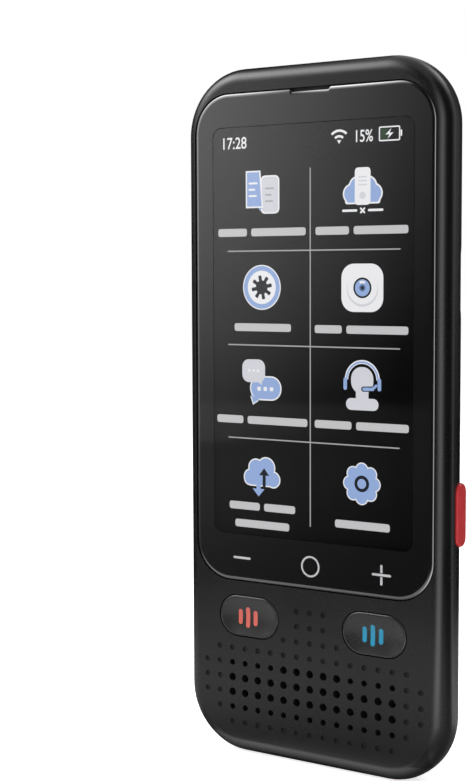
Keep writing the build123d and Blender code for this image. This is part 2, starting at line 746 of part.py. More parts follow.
with BuildPart() as speaker_magnet:
    add(block_at(0, GRILLE_MID, MAGNET_W, MAGNET_H, MAGNET_DEPTH, SPEAKER_BACK))
finish(speaker_magnet.part, "speaker_magnet")

# ---- side key ----
with BuildPart() as side_key:
    add(side_slot(SIDE_LEN, SIDE_W, SIDE_FLANGE_X + SIDE_FLANGE_T, BODY_W / 2 + SIDE_PROUD))
    fillet(side_key.faces().sort_by(Axis.X)[-1].edges(), SIDE_FILLET)
    add(
        side_slot(
            SIDE_LEN + 2 * SIDE_FLANGE_REACH,
            SIDE_W + 2 * SIDE_FLANGE_REACH,
            SIDE_FLANGE_X,
            SIDE_FLANGE_X + SIDE_FLANGE_T,
        )
    )
finish(side_key.part, "side_key")

with BuildPart() as side_plunger:
    with BuildSketch(at_side(SIDE_PLUNGER_END)):
        with Locations((side_y(SIDE_DEPTH), SIDE_Z)):
            Circle(SIDE_PLUNGER_R)
    extrude(amount=SIDE_FLANGE_X - SIDE_PLUNGER_END)
finish(side_plunger.part, "side_plunger")

with BuildPart() as side_switch:
    with BuildSketch(at_side(SIDE_SWITCH_X)):
        with Locations((side_y(SIDE_DEPTH), SIDE_Z)):
            Rectangle(SIDE_SWITCH_W, SIDE_SWITCH_L)
    extrude(amount=SIDE_SWITCH_T)
    with BuildSketch(at_side(SIDE_SWITCH_X + PLUNGER_STOP)):
        with Locations((side_y(SIDE_DEPTH), SIDE_Z)):
            Circle(SIDE_PLUNGER_R + PLUNGER_GAP)
    extrude(amount=SIDE_SWITCH_T, mode=Mode.SUBTRACT)
finish(side_switch.part, "side_switch")

with BuildPart() as side_board:
    with BuildSketch(at_side(SIDE_SWITCH_X - SIDE_BOARD_T)):
        with Locations((side_y(SIDE_DEPTH), SIDE_Z)):
            Rectangle(SIDE_BOARD_W, SIDE_BOARD_L)
    extrude(amount=SIDE_BOARD_T)
finish(side_board.part, "side_board")

# ---- chassis: cast plate that carries the boards and the battery ----
with BuildPart() as chassis:
    with BuildSketch(at_depth(CHASSIS_DEPTH)):
        with Locations((0, BODY_H / 2)):
            RectangleRounded(
                BODY_W - 2 * CHASSIS_INSET, BODY_H - 2 * CHASSIS_INSET, CORNER_R - CHASSIS_INSET
            )
        with Locations((TALK_X, TALK_Z), (-TALK_X, TALK_Z)):
            SlotOverall(KEY_OPENING_W, KEY_OPENING_H, mode=Mode.SUBTRACT)
        with Locations((0, GRILLE_MID)):
            SlotOverall(SPEAKER_W + 2 * CHASSIS_GAP, SPEAKER_H + 2 * CHASSIS_GAP, mode=Mode.SUBTRACT)
        with Locations((0, BOOT_Z)):
            Rectangle(BOOT_W + 2 * CHASSIS_GAP, BOOT_H + 2 * CHASSIS_GAP, mode=Mode.SUBTRACT)
        with Locations((TAIL_X, TAIL_TURN_Z)):
            Rectangle(TAIL_W + 2 * TAIL_GAP, TAIL_SLOT_H, mode=Mode.SUBTRACT)
        with Locations((BODY_W / 2, SIDE_Z)):
            Rectangle(SIDE_NOTCH_W, SIDE_NOTCH_H, mode=Mode.SUBTRACT)
    extrude(amount=-CHASSIS_T)
    with BuildSketch(at_depth(CHASSIS_BACK)):
        with Locations(*MAIN_SCREWS, *IO_SCREWS):
            Circle(BOSS_R)
    extrude(amount=CHASSIS_BACK - BOARD_DEPTH)
    with BuildSketch(at_side(SIDE_TAB_X)):
        with Locations((side_y((CHASSIS_DEPTH + SIDE_TAB_END) / 2), SIDE_Z)):
            Rectangle(SIDE_TAB_END - CHASSIS_DEPTH, SIDE_BOARD_L)
    extrude(amount=SIDE_TAB_T)
    for x, z in CHASSIS_SCREWS:
        add(disc(x, z, SCREW_R + SCREW_GAP, 0, CHASSIS_BACK), mode=Mode.SUBTRACT)
    for x, z in MAIN_SCREWS + IO_SCREWS:
        add(disc(x, z, SCREW_R + SCREW_GAP, CHASSIS_BACK, BOARD_DEPTH), mode=Mode.SUBTRACT)
finish(chassis.part, "chassis")


def screws(places, seat, tip):
    """Pan-head screws at a list of places, with their heads on a seat and their tips in front of it."""
    with BuildPart() as group:
        for x, z in places:
            add(disc(x, z, SCREW_R, tip, seat))
            add(disc(x, z, SCREW_HEAD_R, seat, seat + SCREW_HEAD_T))
    return group.part


finish(screws(CHASSIS_SCREWS, CHASSIS_BACK, CHASSIS_DEPTH - SCREW_BITE + SCREW_GAP), "chassis_screws")
finish(screws(MAIN_SCREWS + IO_SCREWS, BOARD_BACK, CHASSIS_BACK + SCREW_GAP), "board_screws")


def board_outline(bottom, top, width):
    """Board outline that follows the housing and is cut to a height range and a width."""
    with BuildSketch(at_depth(BOARD_DEPTH)) as outline:
        with Locations((0, BODY_H / 2)):
            RectangleRounded(BODY_W - 2 * BOARD_INSET, BODY_H - 2 * BOARD_INSET, CORNER_R - BOARD_INSET)
        with Locations((0, (bottom + top) / 2)):
            Rectangle(width, top - bottom, mode=Mode.INTERSECT)
    return outline.sketch


def screw_holes(places):
    """Clearance holes through a board."""
    with BuildPart() as holes:
        for x, z in places:
            add(disc(x, z, SCREW_R + SCREW_GAP, BOARD_DEPTH, BOARD_BACK))
    return holes.part


with BuildPart() as main_board:
    extrude(board_outline(MAIN_BOTTOM, MAIN_TOP, MAIN_W), amount=-BOARD_T)
    add(
        block_at(
            CAMERA_X,
            CAMERA_Z,
            CAMERA_SIZE + 2 * CAMERA_GAP,
            CAMERA_SIZE + 2 * CAMERA_GAP,
            BOARD_DEPTH,
            BOARD_BACK,
        ),
        mode=Mode.SUBTRACT,
    )
    add(screw_holes(MAIN_SCREWS), mode=Mode.SUBTRACT)
finish(main_board.part, "main_board")

with BuildPart() as io_board:
    extrude(board_outline(BOARD_INSET, IO_TOP, IO_W), amount=-BOARD_T)
    add(
        slot_at(
            0, GRILLE_MID, SPEAKER_W + 2 * IO_CLEAR, SPEAKER_H + 2 * IO_CLEAR, BOARD_DEPTH, BOARD_BACK
        ),
        mode=Mode.SUBTRACT,
    )
    add(
        block_at(0, 0, USB_W + 2 * BOOT_GAP, 2 * (USB_END + BOOT_GAP), BOARD_DEPTH, BOARD_BACK),
        mode=Mode.SUBTRACT,
    )
    add(
        disc(LANYARD_X, LANYARD_Z, TUNNEL_BLOCK_R + IO_CLEAR, BOARD_DEPTH, BOARD_BACK),
        mode=Mode.SUBTRACT,
    )
    add(screw_holes(IO_SCREWS), mode=Mode.SUBTRACT)
finish(io_board.part, "io_board")


def shield_can(x, z, size, near, far, open_back):
    """Stamped square lid over a board area, open on the side that meets the board."""
    with BuildPart() as can:
        add(block_at(x, z, size, size, near, far))
        inner_near = near + CAN_WALL if open_back else near
        inner_far = far if open_back else far - CAN_WALL
        add(
            block_at(x, z, size - 2 * CAN_WALL, size - 2 * CAN_WALL, inner_near, inner_far),
            mode=Mode.SUBTRACT,
        )
    return can.part


can_z = MAIN_BOTTOM + CAN_FRONT_FROM_BOTTOM
finish(
    shield_can(CAN_FRONT_X, can_z, CAN_FRONT_SIZE, BOARD_DEPTH - CAN_T, BOARD_DEPTH, True),
    "shield_can_front",
)
can_z = MAIN_BOTTOM + CAN_REAR_FROM_BOTTOM
finish(
    shield_can(CAN_REAR_X, can_z, CAN_REAR_SIZE, BOARD_BACK, BOARD_BACK + CAN_T, False),
    "shield_can_rear",
)

with BuildPart() as battery:
    with BuildSketch(at_depth(BATTERY_DEPTH)):
        with Locations((BATTERY_X, BATTERY_Z)):
            RectangleRounded(BATTERY_RIGHT - BATTERY_LEFT, BATTERY_TOP - BATTERY_BOTTOM, BATTERY_ROUND)
    extrude(amount=-BATTERY_T)
    fillet(battery.faces().sort_by(Axis.Y)[-1].edges(), BATTERY_ROUND / 2)
finish(battery.part, "battery")

with BuildPart() as battery_tape:
    add(
        block_at(BATTERY_X, BATTERY_Z, BATTERY_TAPE_SIZE, BATTERY_TAPE_SIZE, CHASSIS_BACK, BATTERY_DEPTH)
    )
finish(battery_tape.part, "battery_tape")

with BuildPart() as battery_pad:
    add(block_at(BATTERY_X, BATTERY_Z, PAD_W, PAD_H, BATTERY_BACK, INNER_BACK))
finish(battery_pad.part, "battery_pad")

with BuildPart() as cell_board:
    add(
        block_at(
            BATTERY_X,
            BATTERY_TOP + CELL_BOARD_H / 2,
            CELL_BOARD_W,
            CELL_BOARD_H,
            BATTERY_MID - CELL_BOARD_T / 2,
            BATTERY_MID + CELL_BOARD_T / 2,
        )
    )
finish(cell_board.part, "cell_board")

with BuildPart() as antenna:
    add(
        block_at(
            ANTENNA_RIGHT - ANTENNA_W / 2,
            BODY_H - ANTENNA_FROM_TOP + ANTENNA_H / 2,
            ANTENNA_W,
            ANTENNA_H,
            INNER_BACK - ANTENNA_T,
            INNER_BACK,
        )
    )
finish(antenna.part, "antenna")

# Flexible link between the boards, laid on the chassis beside the battery.
with BuildPart() as link_flex:
    with BuildSketch(at_side(LINK_X - LINK_W / 2)):
        with BuildLine():
            FilletPolyline(
                (side_y(BOARD_DEPTH - FLEX_T / 2), IO_TOP - LINK_PAD_L),
                (side_y(BOARD_DEPTH - FLEX_T / 2), IO_TOP),
                (side_y(CHASSIS_BACK + FLEX_T / 2), IO_TOP + LINK_RISE),
                (side_y(CHASSIS_BACK + FLEX_T / 2), MAIN_BOTTOM - LINK_RISE),
                (side_y(BOARD_DEPTH - FLEX_T / 2), MAIN_BOTTOM),
                (side_y(BOARD_DEPTH - FLEX_T / 2), MAIN_BOTTOM + LINK_PAD_L),
                radius=FLEX_BEND,
            )
        trace(line_width=FLEX_T)
    extrude(amount=LINK_W)
finish(link_flex.part, "link_flex")

# ---- card and its socket ----
with BuildPart() as card:
    with BuildSketch(at_depth(CARD_DEPTH - CARD_T / 2)):
        with Locations((CARD_INNER_X + CARD_L / 2, CARD_Z)):
            Rectangle(CARD_L, CARD_W)
    extrude(amount=-CARD_T)
    chamfer(card.edges().filter_by(Axis.Y).group_by(Axis.X)[0].sort_by(Axis.Z)[-1], CARD_NICK)
finish(card.part, "card")

with BuildPart() as card_socket:
    add(
        block_at(
            (SOCKET_X + SOCKET_MOUTH) / 2, CARD_Z, SOCKET_MOUTH - SOCKET_X, SOCKET_W, BOARD_BACK, SOCKET_END
        )
    )
    add(
        block_at(
            SOCKET_X + SOCKET_BACK + CARD_L,
            CARD_Z,
            2 * CARD_L,
            CARD_W + 2 * CARD_CLEAR,
            CARD_DEPTH - CARD_T / 2 - CARD_CLEAR,
            CARD_DEPTH + CARD_T / 2 + CARD_CLEAR,
            CARD_CLEAR,
        ),
        mode=Mode.SUBTRACT,
    )
finish(card_socket.part, "card_socket")

# ---- port and microphones ----
with BuildPart() as usb_shell:
    with BuildSketch(Plane.XY.offset(USB_MOUTH)):
        with Locations((0, side_y(USB_DEPTH))):
            SlotOverall(USB_W, USB_T)
    extrude(amount=USB_L)
    with BuildSketch(Plane.XY.offset(USB_MOUTH)):
        with Locations((0, side_y(USB_DEPTH))):
            SlotOverall(USB_W - 2 * USB_WALL, USB_T - 2 * USB_WALL)
    extrude(amount=USB_L - USB_WALL, mode=Mode.SUBTRACT)
    for x in (-USB_EAR_X, USB_EAR_X):
        add(block_at(x, USB_EAR_Z, USB_EAR, USB_EAR, BOARD_DEPTH - USB_WALL, BOARD_DEPTH, USB_WALL))
finish(usb_shell.part, "usb_shell")

with BuildPart() as usb_tongue:
    with BuildSketch(Plane.XY.offset(USB_END - USB_WALL - TONGUE_L)):
        with Locations((0, side_y(USB_DEPTH))):
            RectangleRounded(TONGUE_W, TONGUE_T, TONGUE_T / 4)
    extrude(amount=TONGUE_L)
finish(usb_tongue.part, "usb_tongue")

with BuildPart() as bottom_microphone:
    add(block_at(BOTTOM_MIC_X, BOTTOM_MIC_Z, MIC_W, MIC_H, BOARD_DEPTH - MIC_T, BOARD_DEPTH))
finish(bottom_microphone.part, "bottom_microphone")

with BuildPart() as bottom_mic_boot:
    with BuildSketch(Plane.XY.offset(BOOT_START)):
        with Locations((BOTTOM_MIC_X, side_y(BOTTOM_MIC_DEPTH))):
            Circle(MIC_HOLE_R + BOOT_WALL)
            Circle(MIC_HOLE_R, mode=Mode.SUBTRACT)
    extrude(amount=BOARD_INSET - BOOT_START)
finish(bottom_mic_boot.part, "bottom_mic_boot")

with BuildPart() as sound_mesh:
    with BuildSketch(at_depth(LEDGE_DEPTH - MESH_T)):
        with Locations((0, NOTCH_Z)):
            SlotOverall(SOUND_MESH_W, SOUND_MESH_H)
    extrude(amount=-MESH_T)
finish(sound_mesh.part, "sound_mesh")

with BuildPart() as top_mic_boot:
    add(block_at(0, BOOT_Z, BOOT_W, BOOT_H, FRONT_WALL, BOARD_DEPTH - MIC_T))
    add(
        block_at(0, BOOT_Z, SOUND_SLOT_W, BOOT_H - 2 * BOOT_WALL, FRONT_WALL, FRONT_WALL + BOOT_CHANNEL),
        mode=Mode.SUBTRACT,
    )
    add(disc(0, TOP_MIC_Z, MIC_HOLE_R, FRONT_WALL, BOARD_DEPTH - MIC_T), mode=Mode.SUBTRACT)
finish(top_mic_boot.part, "top_mic_boot")

with BuildPart() as top_microphone:
    add(block_at(0, TOP_MIC_Z, MIC_W, MIC_H, BOARD_DEPTH - MIC_T, BOARD_DEPTH))
finish(top_microphone.part, "top_microphone")

# ---- rear camera ----
CAMERA_AXIS = Axis((CAMERA_X, 0, CAMERA_Z), (0, 1, 0))


def camera_ring_of(*points):
    """Solid turned about the camera's axis from radius and depth pairs."""
    with BuildPart() as turned:
        with BuildSketch(Plane.XY.offset(CAMERA_Z)):
            with BuildLine():
                Polyline(*[(CAMERA_X + radius, side_y(depth)) for radius, depth in points], close=True)
            make_face()
        revolve(axis=CAMERA_AXIS)
    return turned.part


finish(
    camera_ring_of(
        (SPIGOT_BORE_R, SPIGOT_END),
        (SPIGOT_R, SPIGOT_END),
        (SPIGOT_R, BODY_T - RING_SEAT),
        (RING_R, BODY_T - RING_SEAT),
        (RING_R, RING_TOP - RING_EDGE),
        (RING_R - RING_EDGE / 2, RING_TOP),
        (RING_BORE_R, RING_TOP),
        (RING_BORE_R, PANE_BACK),
        (SPIGOT_BORE_R, PANE_BACK),
    ),
    "camera_ring",
)
finish(disc(CAMERA_X, CAMERA_Z, RING_BORE_R - SPIGOT_GAP / 2, PANE_BACK, PANE_TOP), "camera_pane")
finish(
    camera_ring_of(
        (SHROUD_BORE_R, CAMERA_BODY_END),
        (SHROUD_R, CAMERA_BODY_END),
        (SHROUD_R, SHROUD_TOP),
        (SHROUD_MOUTH_R, SHROUD_TOP),
        (SHROUD_STEP_R, SHROUD_TOP - SHROUD_STEP_DROP),
        (SHROUD_THROAT_R, BARREL_END + SPIGOT_GAP),
        (SHROUD_BORE_R, BARREL_END + SPIGOT_GAP),
    ),
    "camera_shroud",
)

with BuildPart() as camera_module:
    add(block_at(CAMERA_X, CAMERA_Z, CAMERA_SIZE, CAMERA_SIZE, CHASSIS_BACK, CAMERA_BODY_END))
    add(disc(CAMERA_X, CAMERA_Z, BARREL_R, CAMERA_BODY_END, BARREL_END))
finish(camera_module.part, "camera_module")

with BuildPart() as camera_lens:
    add(disc(CAMERA_X, CAMERA_Z, LENS_R, BARREL_END, BARREL_END + LENS_RISE))
    with Locations((CAMERA_X, side_y(BARREL_END + LENS_RISE - LENS_CROWN_R), CAMERA_Z)):
        Sphere(LENS_CROWN_R, mode=Mode.INTERSECT)
finish(camera_lens.part, "camera_lens")

# ---- rear shell ----
# The lanyard tunnel is a ring-shaped groove around a post that follows the corner.
with BuildPart() as tunnel:
    with BuildSketch(at_depth(RECESS_START)):
        with Locations((LANYARD_X, LANYARD_Z)):
            Circle(TUNNEL_R)
            Circle(POST_R, mode=Mode.SUBTRACT)
    extrude(amount=-TUNNEL_DEPTH)
    fillet(tunnel.faces().sort_by(Axis.Y)[-1].edges(), TUNNEL_FILLET)

with BuildPart() as rear_shell:
    add(slice_of(outer, RECESS_START, BODY_T))
    add(cavity, mode=Mode.SUBTRACT)
    add(
        slice_of(envelope(LIP_INSET - LIP_GAP), RECESS_START - SEAM, PARTING + LIP_H + LIP_GAP),
        mode=Mode.SUBTRACT,
    )

    # Solid blocks inside the wall carry the card slot and the lanyard loop.
    add(within(slice_of(card_block, RECESS_START, RECESS_START + RECESS_SAGITTA + RECESS_WALL), outer))
    add(within(slice_of(lanyard_block, RECESS_START, BODY_T), outer))

    # Thumb recess: a flared circle that the parting line cuts to a D, with the card's slot in its floor.
    with BuildSketch(at_side(RECESS_FLOOR_X)):
        with Locations((side_y(RECESS_START + RECESS_SAGITTA - RECESS_R), CARD_Z)):
            Circle(RECESS_R)
    extrude(amount=BODY_W / 2 - RECESS_FLOOR_X + EDGE_BREAK, taper=-RECESS_TAPER, mode=Mode.SUBTRACT)
    add(
        block_at(
            RECESS_FLOOR_X,
            CARD_Z,
            4 * RECESS_WALL,
            CARD_W + 2 * CARD_CLEAR,
            0,
            CARD_DEPTH + CARD_T / 2 + CARD_CLEAR,
            CARD_CLEAR,
        ),
        mode=Mode.SUBTRACT,
    )

    add(tunnel.part, mode=Mode.SUBTRACT)

    # Bore for the camera ring, with a seat that takes the ring's flange.
    add(disc(CAMERA_X, CAMERA_Z, SPIGOT_R + SPIGOT_GAP, SPIGOT_END, BODY_T), mode=Mode.SUBTRACT)
    add(disc(CAMERA_X, CAMERA_Z, RING_R + SPIGOT_GAP, BODY_T - RING_SEAT, BODY_T), mode=Mode.SUBTRACT)
    add(side_aperture, mode=Mode.SUBTRACT)
    add(port_aperture.part, mode=Mode.SUBTRACT)
finish(rear_shell.part, "rear_shell")
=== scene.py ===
import json
import logging
import math
from dataclasses import dataclass, field
from enum import Enum
from typing import Callable, Iterable, Optional, Sequence, Union

import bpy
import numpy as np
from mathutils import Matrix, Vector

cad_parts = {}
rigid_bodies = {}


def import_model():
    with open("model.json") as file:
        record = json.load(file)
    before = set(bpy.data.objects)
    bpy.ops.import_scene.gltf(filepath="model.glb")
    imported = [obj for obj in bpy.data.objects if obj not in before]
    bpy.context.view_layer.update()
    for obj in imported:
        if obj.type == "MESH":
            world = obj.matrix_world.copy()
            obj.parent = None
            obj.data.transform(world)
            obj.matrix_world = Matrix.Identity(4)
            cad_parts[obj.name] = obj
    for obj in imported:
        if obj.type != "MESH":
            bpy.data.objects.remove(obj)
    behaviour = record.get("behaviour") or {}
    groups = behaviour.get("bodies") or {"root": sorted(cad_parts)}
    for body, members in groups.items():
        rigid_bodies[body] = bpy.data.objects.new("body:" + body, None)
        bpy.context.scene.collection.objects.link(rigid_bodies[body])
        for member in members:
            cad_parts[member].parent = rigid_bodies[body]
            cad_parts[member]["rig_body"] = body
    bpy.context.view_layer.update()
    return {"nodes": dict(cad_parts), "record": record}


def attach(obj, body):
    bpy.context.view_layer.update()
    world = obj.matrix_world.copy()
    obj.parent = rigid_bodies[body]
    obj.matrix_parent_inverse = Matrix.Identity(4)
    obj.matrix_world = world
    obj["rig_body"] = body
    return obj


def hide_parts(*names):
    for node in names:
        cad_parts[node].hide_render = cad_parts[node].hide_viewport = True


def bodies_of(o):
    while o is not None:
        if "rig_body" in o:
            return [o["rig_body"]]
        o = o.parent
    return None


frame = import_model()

LOG = logging.getLogger("translator")
MM = 0.001  # metres in a millimetre
TINY = 0.001  # millimetres
Colour = tuple[float, float, float]
Pair = tuple[float, float]
Value = Union["Wire", float, int]
WHITE: Colour = (1.0, 1.0, 1.0)
DULL: Colour = (0.002, 0.002, 0.002)


# ---- shader graphs -------------------------------------------------------------------------


class Wire:
    """One output of a shader graph that can be used in arithmetic."""

    def __init__(self, graph: "Graph", socket: bpy.types.NodeSocket) -> None:
        """Keeps the graph and the socket.

        Args:
            graph: The graph that the socket belongs to.
            socket: The output socket that carries the value.
        """
        self.graph = graph
        self.socket = socket

    def maths(self, operation: str, *others: Value, first: Optional[Value] = None) -> "Wire":
        """Runs a Math node on this wire.

        Args:
            operation: The Math node's operation.
            others: The operands that follow this one.
            first: An operand that goes in front of this one.

        Returns:
            The result of the operation.
        """
        operands = (self, *others) if first is None else (first, self, *others)
        return self.graph.out("Math", 0, dict(enumerate(operands)), operation=operation)

    def __add__(self, other: Value) -> "Wire":
        """Adds a number or another wire."""
        return self.maths("ADD", other)

    __radd__ = __add__

    def __mul__(self, other: Value) -> "Wire":
        """Multiplies by a number or another wire."""
        return self.maths("MULTIPLY", other)

    __rmul__ = __mul__

    def __sub__(self, other: Value) -> "Wire":
        """Takes a number or another wire away."""
        return self.maths("SUBTRACT", other)

    def __rsub__(self, other: Value) -> "Wire":
        """Takes this wire away from a number."""
        return self.maths("SUBTRACT", first=other)

    def __truediv__(self, other: Value) -> "Wire":
        """Divides by a number or another wire."""
        return self.maths("DIVIDE", other)

    def __rtruediv__(self, other: Value) -> "Wire":
        """Divides a number by this wire."""
        return self.maths("DIVIDE", first=other)

    def __abs__(self) -> "Wire":
        """Drops the sign."""
        return self.maths("ABSOLUTE")

    def hypot(self, other: "Wire") -> "Wire":
        """Gives the length of the vector that this wire and another make."""
        return (self * self + other * other).maths("SQRT")

    def step(self, low: float, high: float) -> "Wire":
        """Rises smoothly from 0 at low to 1 at high.

        Args:
            low: The value below which the result is 0.
            high: The value above which the result is 1.

        Returns:
            The smooth step of this wire.
        """
        inputs = {"Value": self, "From Min": low, "From Max": high}
        return self.graph.out("MapRange", "Result", inputs, interpolation_type="SMOOTHSTEP")

    def blend(self, dark: Union[Colour, "Wire"], light: Colour) -> "Wire":
        """Turns this wire into a colour between two others.

        Args:
            dark: The colour at 0, fixed or itself a wire.
            light: The colour at 1.

        Returns:
            The mixed colour.
        """
        return self.graph.out("Mix", 2, {0: self, 6: dark, 7: light}, data_type="RGBA")


class Graph:
    """A node tree that is emptied and built up again by method calls."""

    def __init__(self, tree: bpy.types.NodeTree) -> None:
        """Empties the tree.

        Args:
            tree: The node tree of a material or the world.
        """
        self.tree = tree
        self.tree.nodes.clear()

    def node(self, kind: str, inputs: Optional[dict] = None, **settings: object) -> bpy.types.Node:
        """Adds a node and joins its inputs.

        Args:
            kind: The node's type name without its ShaderNode prefix.
            inputs: Values or wires by socket name or number. A colour has three parts.
            settings: Attributes to set on the node before its inputs.

        Returns:
            The new node.
        """
        made = self.tree.nodes.new("ShaderNode" + kind)
        for name, value in settings.items():
            setattr(made, name, value)
        for name, value in (inputs or {}).items():
            socket = made.inputs[name]
            if isinstance(value, Wire):
                self.tree.links.new(value.socket, socket)
            else:
                socket.default_value = (*value, 1.0) if socket.type == "RGBA" else value
        return made

    def out(
        self,
        kind: str,
        output: Union[str, int] = 0,
        inputs: Optional[dict] = None,
        **settings: object,
    ) -> Wire:
        """Adds a node and returns one of its outputs.

        Args:
            kind: The node's type name without its ShaderNode prefix.
            output: The output's name or number.
            inputs: Values or wires by socket name or number.
            settings: Attributes to set on the node.

        Returns:
            The output as a wire.
        """
        return Wire(self, self.node(kind, inputs, **settings).outputs[output])

    def place(self) -> Wire:
        """Gives the object coordinate in millimetres.

        Returns:
            The coordinate as a vector wire.
        """
        inputs = {0: self.out("TexCoord", "Object"), "Scale": 1 / MM}
        return self.out("VectorMath", 0, inputs, operation="SCALE")

    def axes(self, place: Wire) -> tuple[Wire, Wire, Wire]:
        """Splits a vector.

        Args:
            place: The vector wire.

        Returns:
            Its three parts.
        """
        parts = self.node("SeparateXYZ", {0: place}).outputs
        return tuple(Wire(self, part) for part in parts)

    def waves(self, curve: str, pitch: float) -> tuple[Wire, Wire]:
        """Runs one wave along x and another along z.

        Args:
            curve: The Math node's operation, SINE or COSINE.
            pitch: The length of a wave in millimetres.

        Returns:
            Both waves, from -1 to 1.
        """
        x, _, z = self.axes(self.place())
        turns = math.tau / pitch
        return (x * turns).maths(curve), (z * turns).maths(curve)

    def noise(
        self, place: Wire, size: float, detail: float = 2.0, roughness: float = 0.5
    ) -> Wire:
        """Adds cloudy noise.

        Args:
            place: The coordinate in millimetres.
            size: The size of the largest features in millimetres.
            detail: How many finer layers there are.
            roughness: How strong the finer layers are.

        Returns:
            The noise, about 0.5 on average.
        """
        inputs = {"Vector": place, "Scale": 1 / size, "Detail": detail, "Roughness": roughness}
        return self.out("TexNoise", 0, inputs)

    def cells(self, place: Wire, size: float) -> Wire:
        """Adds the distance field of scattered cells.

        Args:
            place: The coordinate in millimetres.
            size: The cell size in millimetres.

        Returns:
            The distance, 0 at a cell's middle.
        """
        return self.out("TexVoronoi", "Distance", {"Vector": place, "Scale": 1 / size})

    def bump(self, height: Wire, depth: float, normal: Optional[Wire] = None) -> Wire:
        """Makes a normal from a height.

        Args:
            height: The height as a share of the depth.
            depth: The depth in millimetres.
            normal: The smooth normal under the bumps, or none for the mesh's own.

        Returns:
            The bumped normal.
        """
        inputs = {"Height": height, "Distance": depth * MM}
        return self.out("Bump", 0, inputs if normal is None else {**inputs, "Normal": normal})

    def vector(self, operation: str, *operands: object, output: int = 0) -> Wire:
        """Adds a Vector Math node.

        Args:
            operation: Its operation.
            operands: Its inputs in order.
            output: Which output is wanted: 0 for a vector, 1 for a number.

        Returns:
            The result.
        """
        return self.out("VectorMath", output, dict(enumerate(operands)), operation=operation)

    def seen(self, gloss: float = 1.0) -> Wire:
        """Picks the rays that show a background: those of the camera, of gloss and of glass.

        Args:
            gloss: How much of the background gloss shows.

        Returns:
            1 for such a ray and 0 for one that only carries light.
        """
        rays = self.node("LightPath").outputs
        names = ("Is Camera Ray", "Is Glossy Ray", "Is Transmission Ray")
        camera, glossy, through = (Wire(self, rays[name]) for name in names)
        return camera.maths("MAXIMUM", glossy * gloss).maths("MAXIMUM", through)

    def principled(self, **inputs: object) -> Wire:
        """Adds the main shader.

        Args:
            inputs: Its sockets, with _ for each space in a name.

        Returns:
            The shader wire.
        """
        named = {name.replace("_", " "): value for name, value in inputs.items()}
        return self.out("BsdfPrincipled", 0, named)

    def mix(self, factor: Value, first: Wire, second: Wire) -> Wire:
        """Mixes two shaders.

        Args:
            factor: The share of the second one.
            first: The shader at 0.
            second: The shader at 1.

        Returns:
            The mixed shader.
        """
        return self.out("MixShader", 0, {0: factor, 1: first, 2: second})

    def end(self, shader: Wire, kind: str = "OutputMaterial") -> None:
        """Joins a shader to the output.

        Args:
            shader: The finished shader.
            kind: The output node's type name.
        """
        self.node(kind, {0: shader})


def past_centres(x: Wire, up: Wire, size: Pair, radius: float) -> tuple[Wire, Wire]:
    """How far a point lies past the corner centres of a rounded rectangle about the origin.

    Args:
        x: The coordinate across the object.
        up: The height above the rectangle's middle.
        size: Its width and height.
        radius: Its corner radius.

    Returns:
        The distances across and along, 0 between the centres.
    """
    across, along = (
        (abs(wire) - (full / 2 - radius)).maths("MAXIMUM", 0.0) for wire, full in zip((x, up), size)
    )
    return across, along


def rounded_window(x: Wire, z: Wire, centre: float, size: Pair, radius: float) -> Wire:
    """Distance in millimetres to the edge of an upright rounded window, negative inside it.

    Args:
        x: The coordinate across the object.
        z: The height.
        centre: The height of the window's middle.
        size: Its width and height.
        radius: Its corner radius.

    Returns:
        The signed distance.
    """
    across, along = past_centres(x, z - centre, size, radius)
    return across.hypot(along) - radius


def tint(colour: Colour, share: float) -> Colour:
    """Scales a colour, for its darker or lighter neighbour.

    Args:
        colour: The colour.
        share: What each of its parts is multiplied by.

    Returns:
        The scaled colour.
    """
    return tuple(part * share for part in colour)


# ---- finishes ------------------------------------------------------------------------------


class Finish:
    """A procedural material recipe."""

    def shade(self, graph: Graph) -> Wire:
        """Builds the nodes.

        Args:
            graph: The empty graph.

        Returns:
            The finished shader.
        """
        raise NotImplementedError

    def material(self, name: str) -> bpy.types.Material:
        """Makes the material.

        Args:
            name: Its name.

        Returns:
            The new material.
        """
        made = bpy.data.materials.new(name)
        made.use_nodes = True
        graph = Graph(made.node_tree)
        graph.end(self.shade(graph))
        return made


@dataclass(frozen=True)
class Moulded(Finish):
    """Moulded plastic with an eroded grain and faint smooth patches where hands polish it."""

    colour: Colour
    roughness: float = 0.5
    specular: float = 0.5
    grain: float = 0.16
    depth: float = 0.006
    polish: float = 0.12
    shift: float = 0.12
    patch: float = 22.0
    drift: float = 0.1

    def surface(self, graph: Graph) -> Optional[Wire]:
        """Gives the smooth normal under the grain.

        Args:
            graph: The graph.

        Returns:
            The normal, or none for the mesh's own.
        """
        return None

    def shade(self, graph: Graph) -> Wire:
        """Grain from cells and noise; colour and roughness drift over centimetres.

        Args:
            graph: The empty graph.

        Returns:
            The finished shader.
        """
        place = graph.place()
        patches = graph.noise(place, self.patch, detail=3.0)
        fine = graph.noise(place, self.grain * 3, detail=4.0, roughness=0.6)
        grain = graph.cells(place, self.grain) * 0.6 + fine * 0.4
        tone = (patches * 0.6 + fine * 0.4).step(0.3, 0.7)
        low, high = tint(self.colour, 1 - self.shift), tint(self.colour, 1 + self.shift)
        polished = (1 - patches.step(0.35, 0.6)) * self.polish
        rough = self.roughness + (fine - 0.5) * self.drift - polished
        return graph.principled(
            Base_Color=tone.blend(low, high),
            Roughness=rough,
            Specular_IOR_Level=self.specular,
            Normal=graph.bump(grain, self.depth, self.surface(graph)),
        )


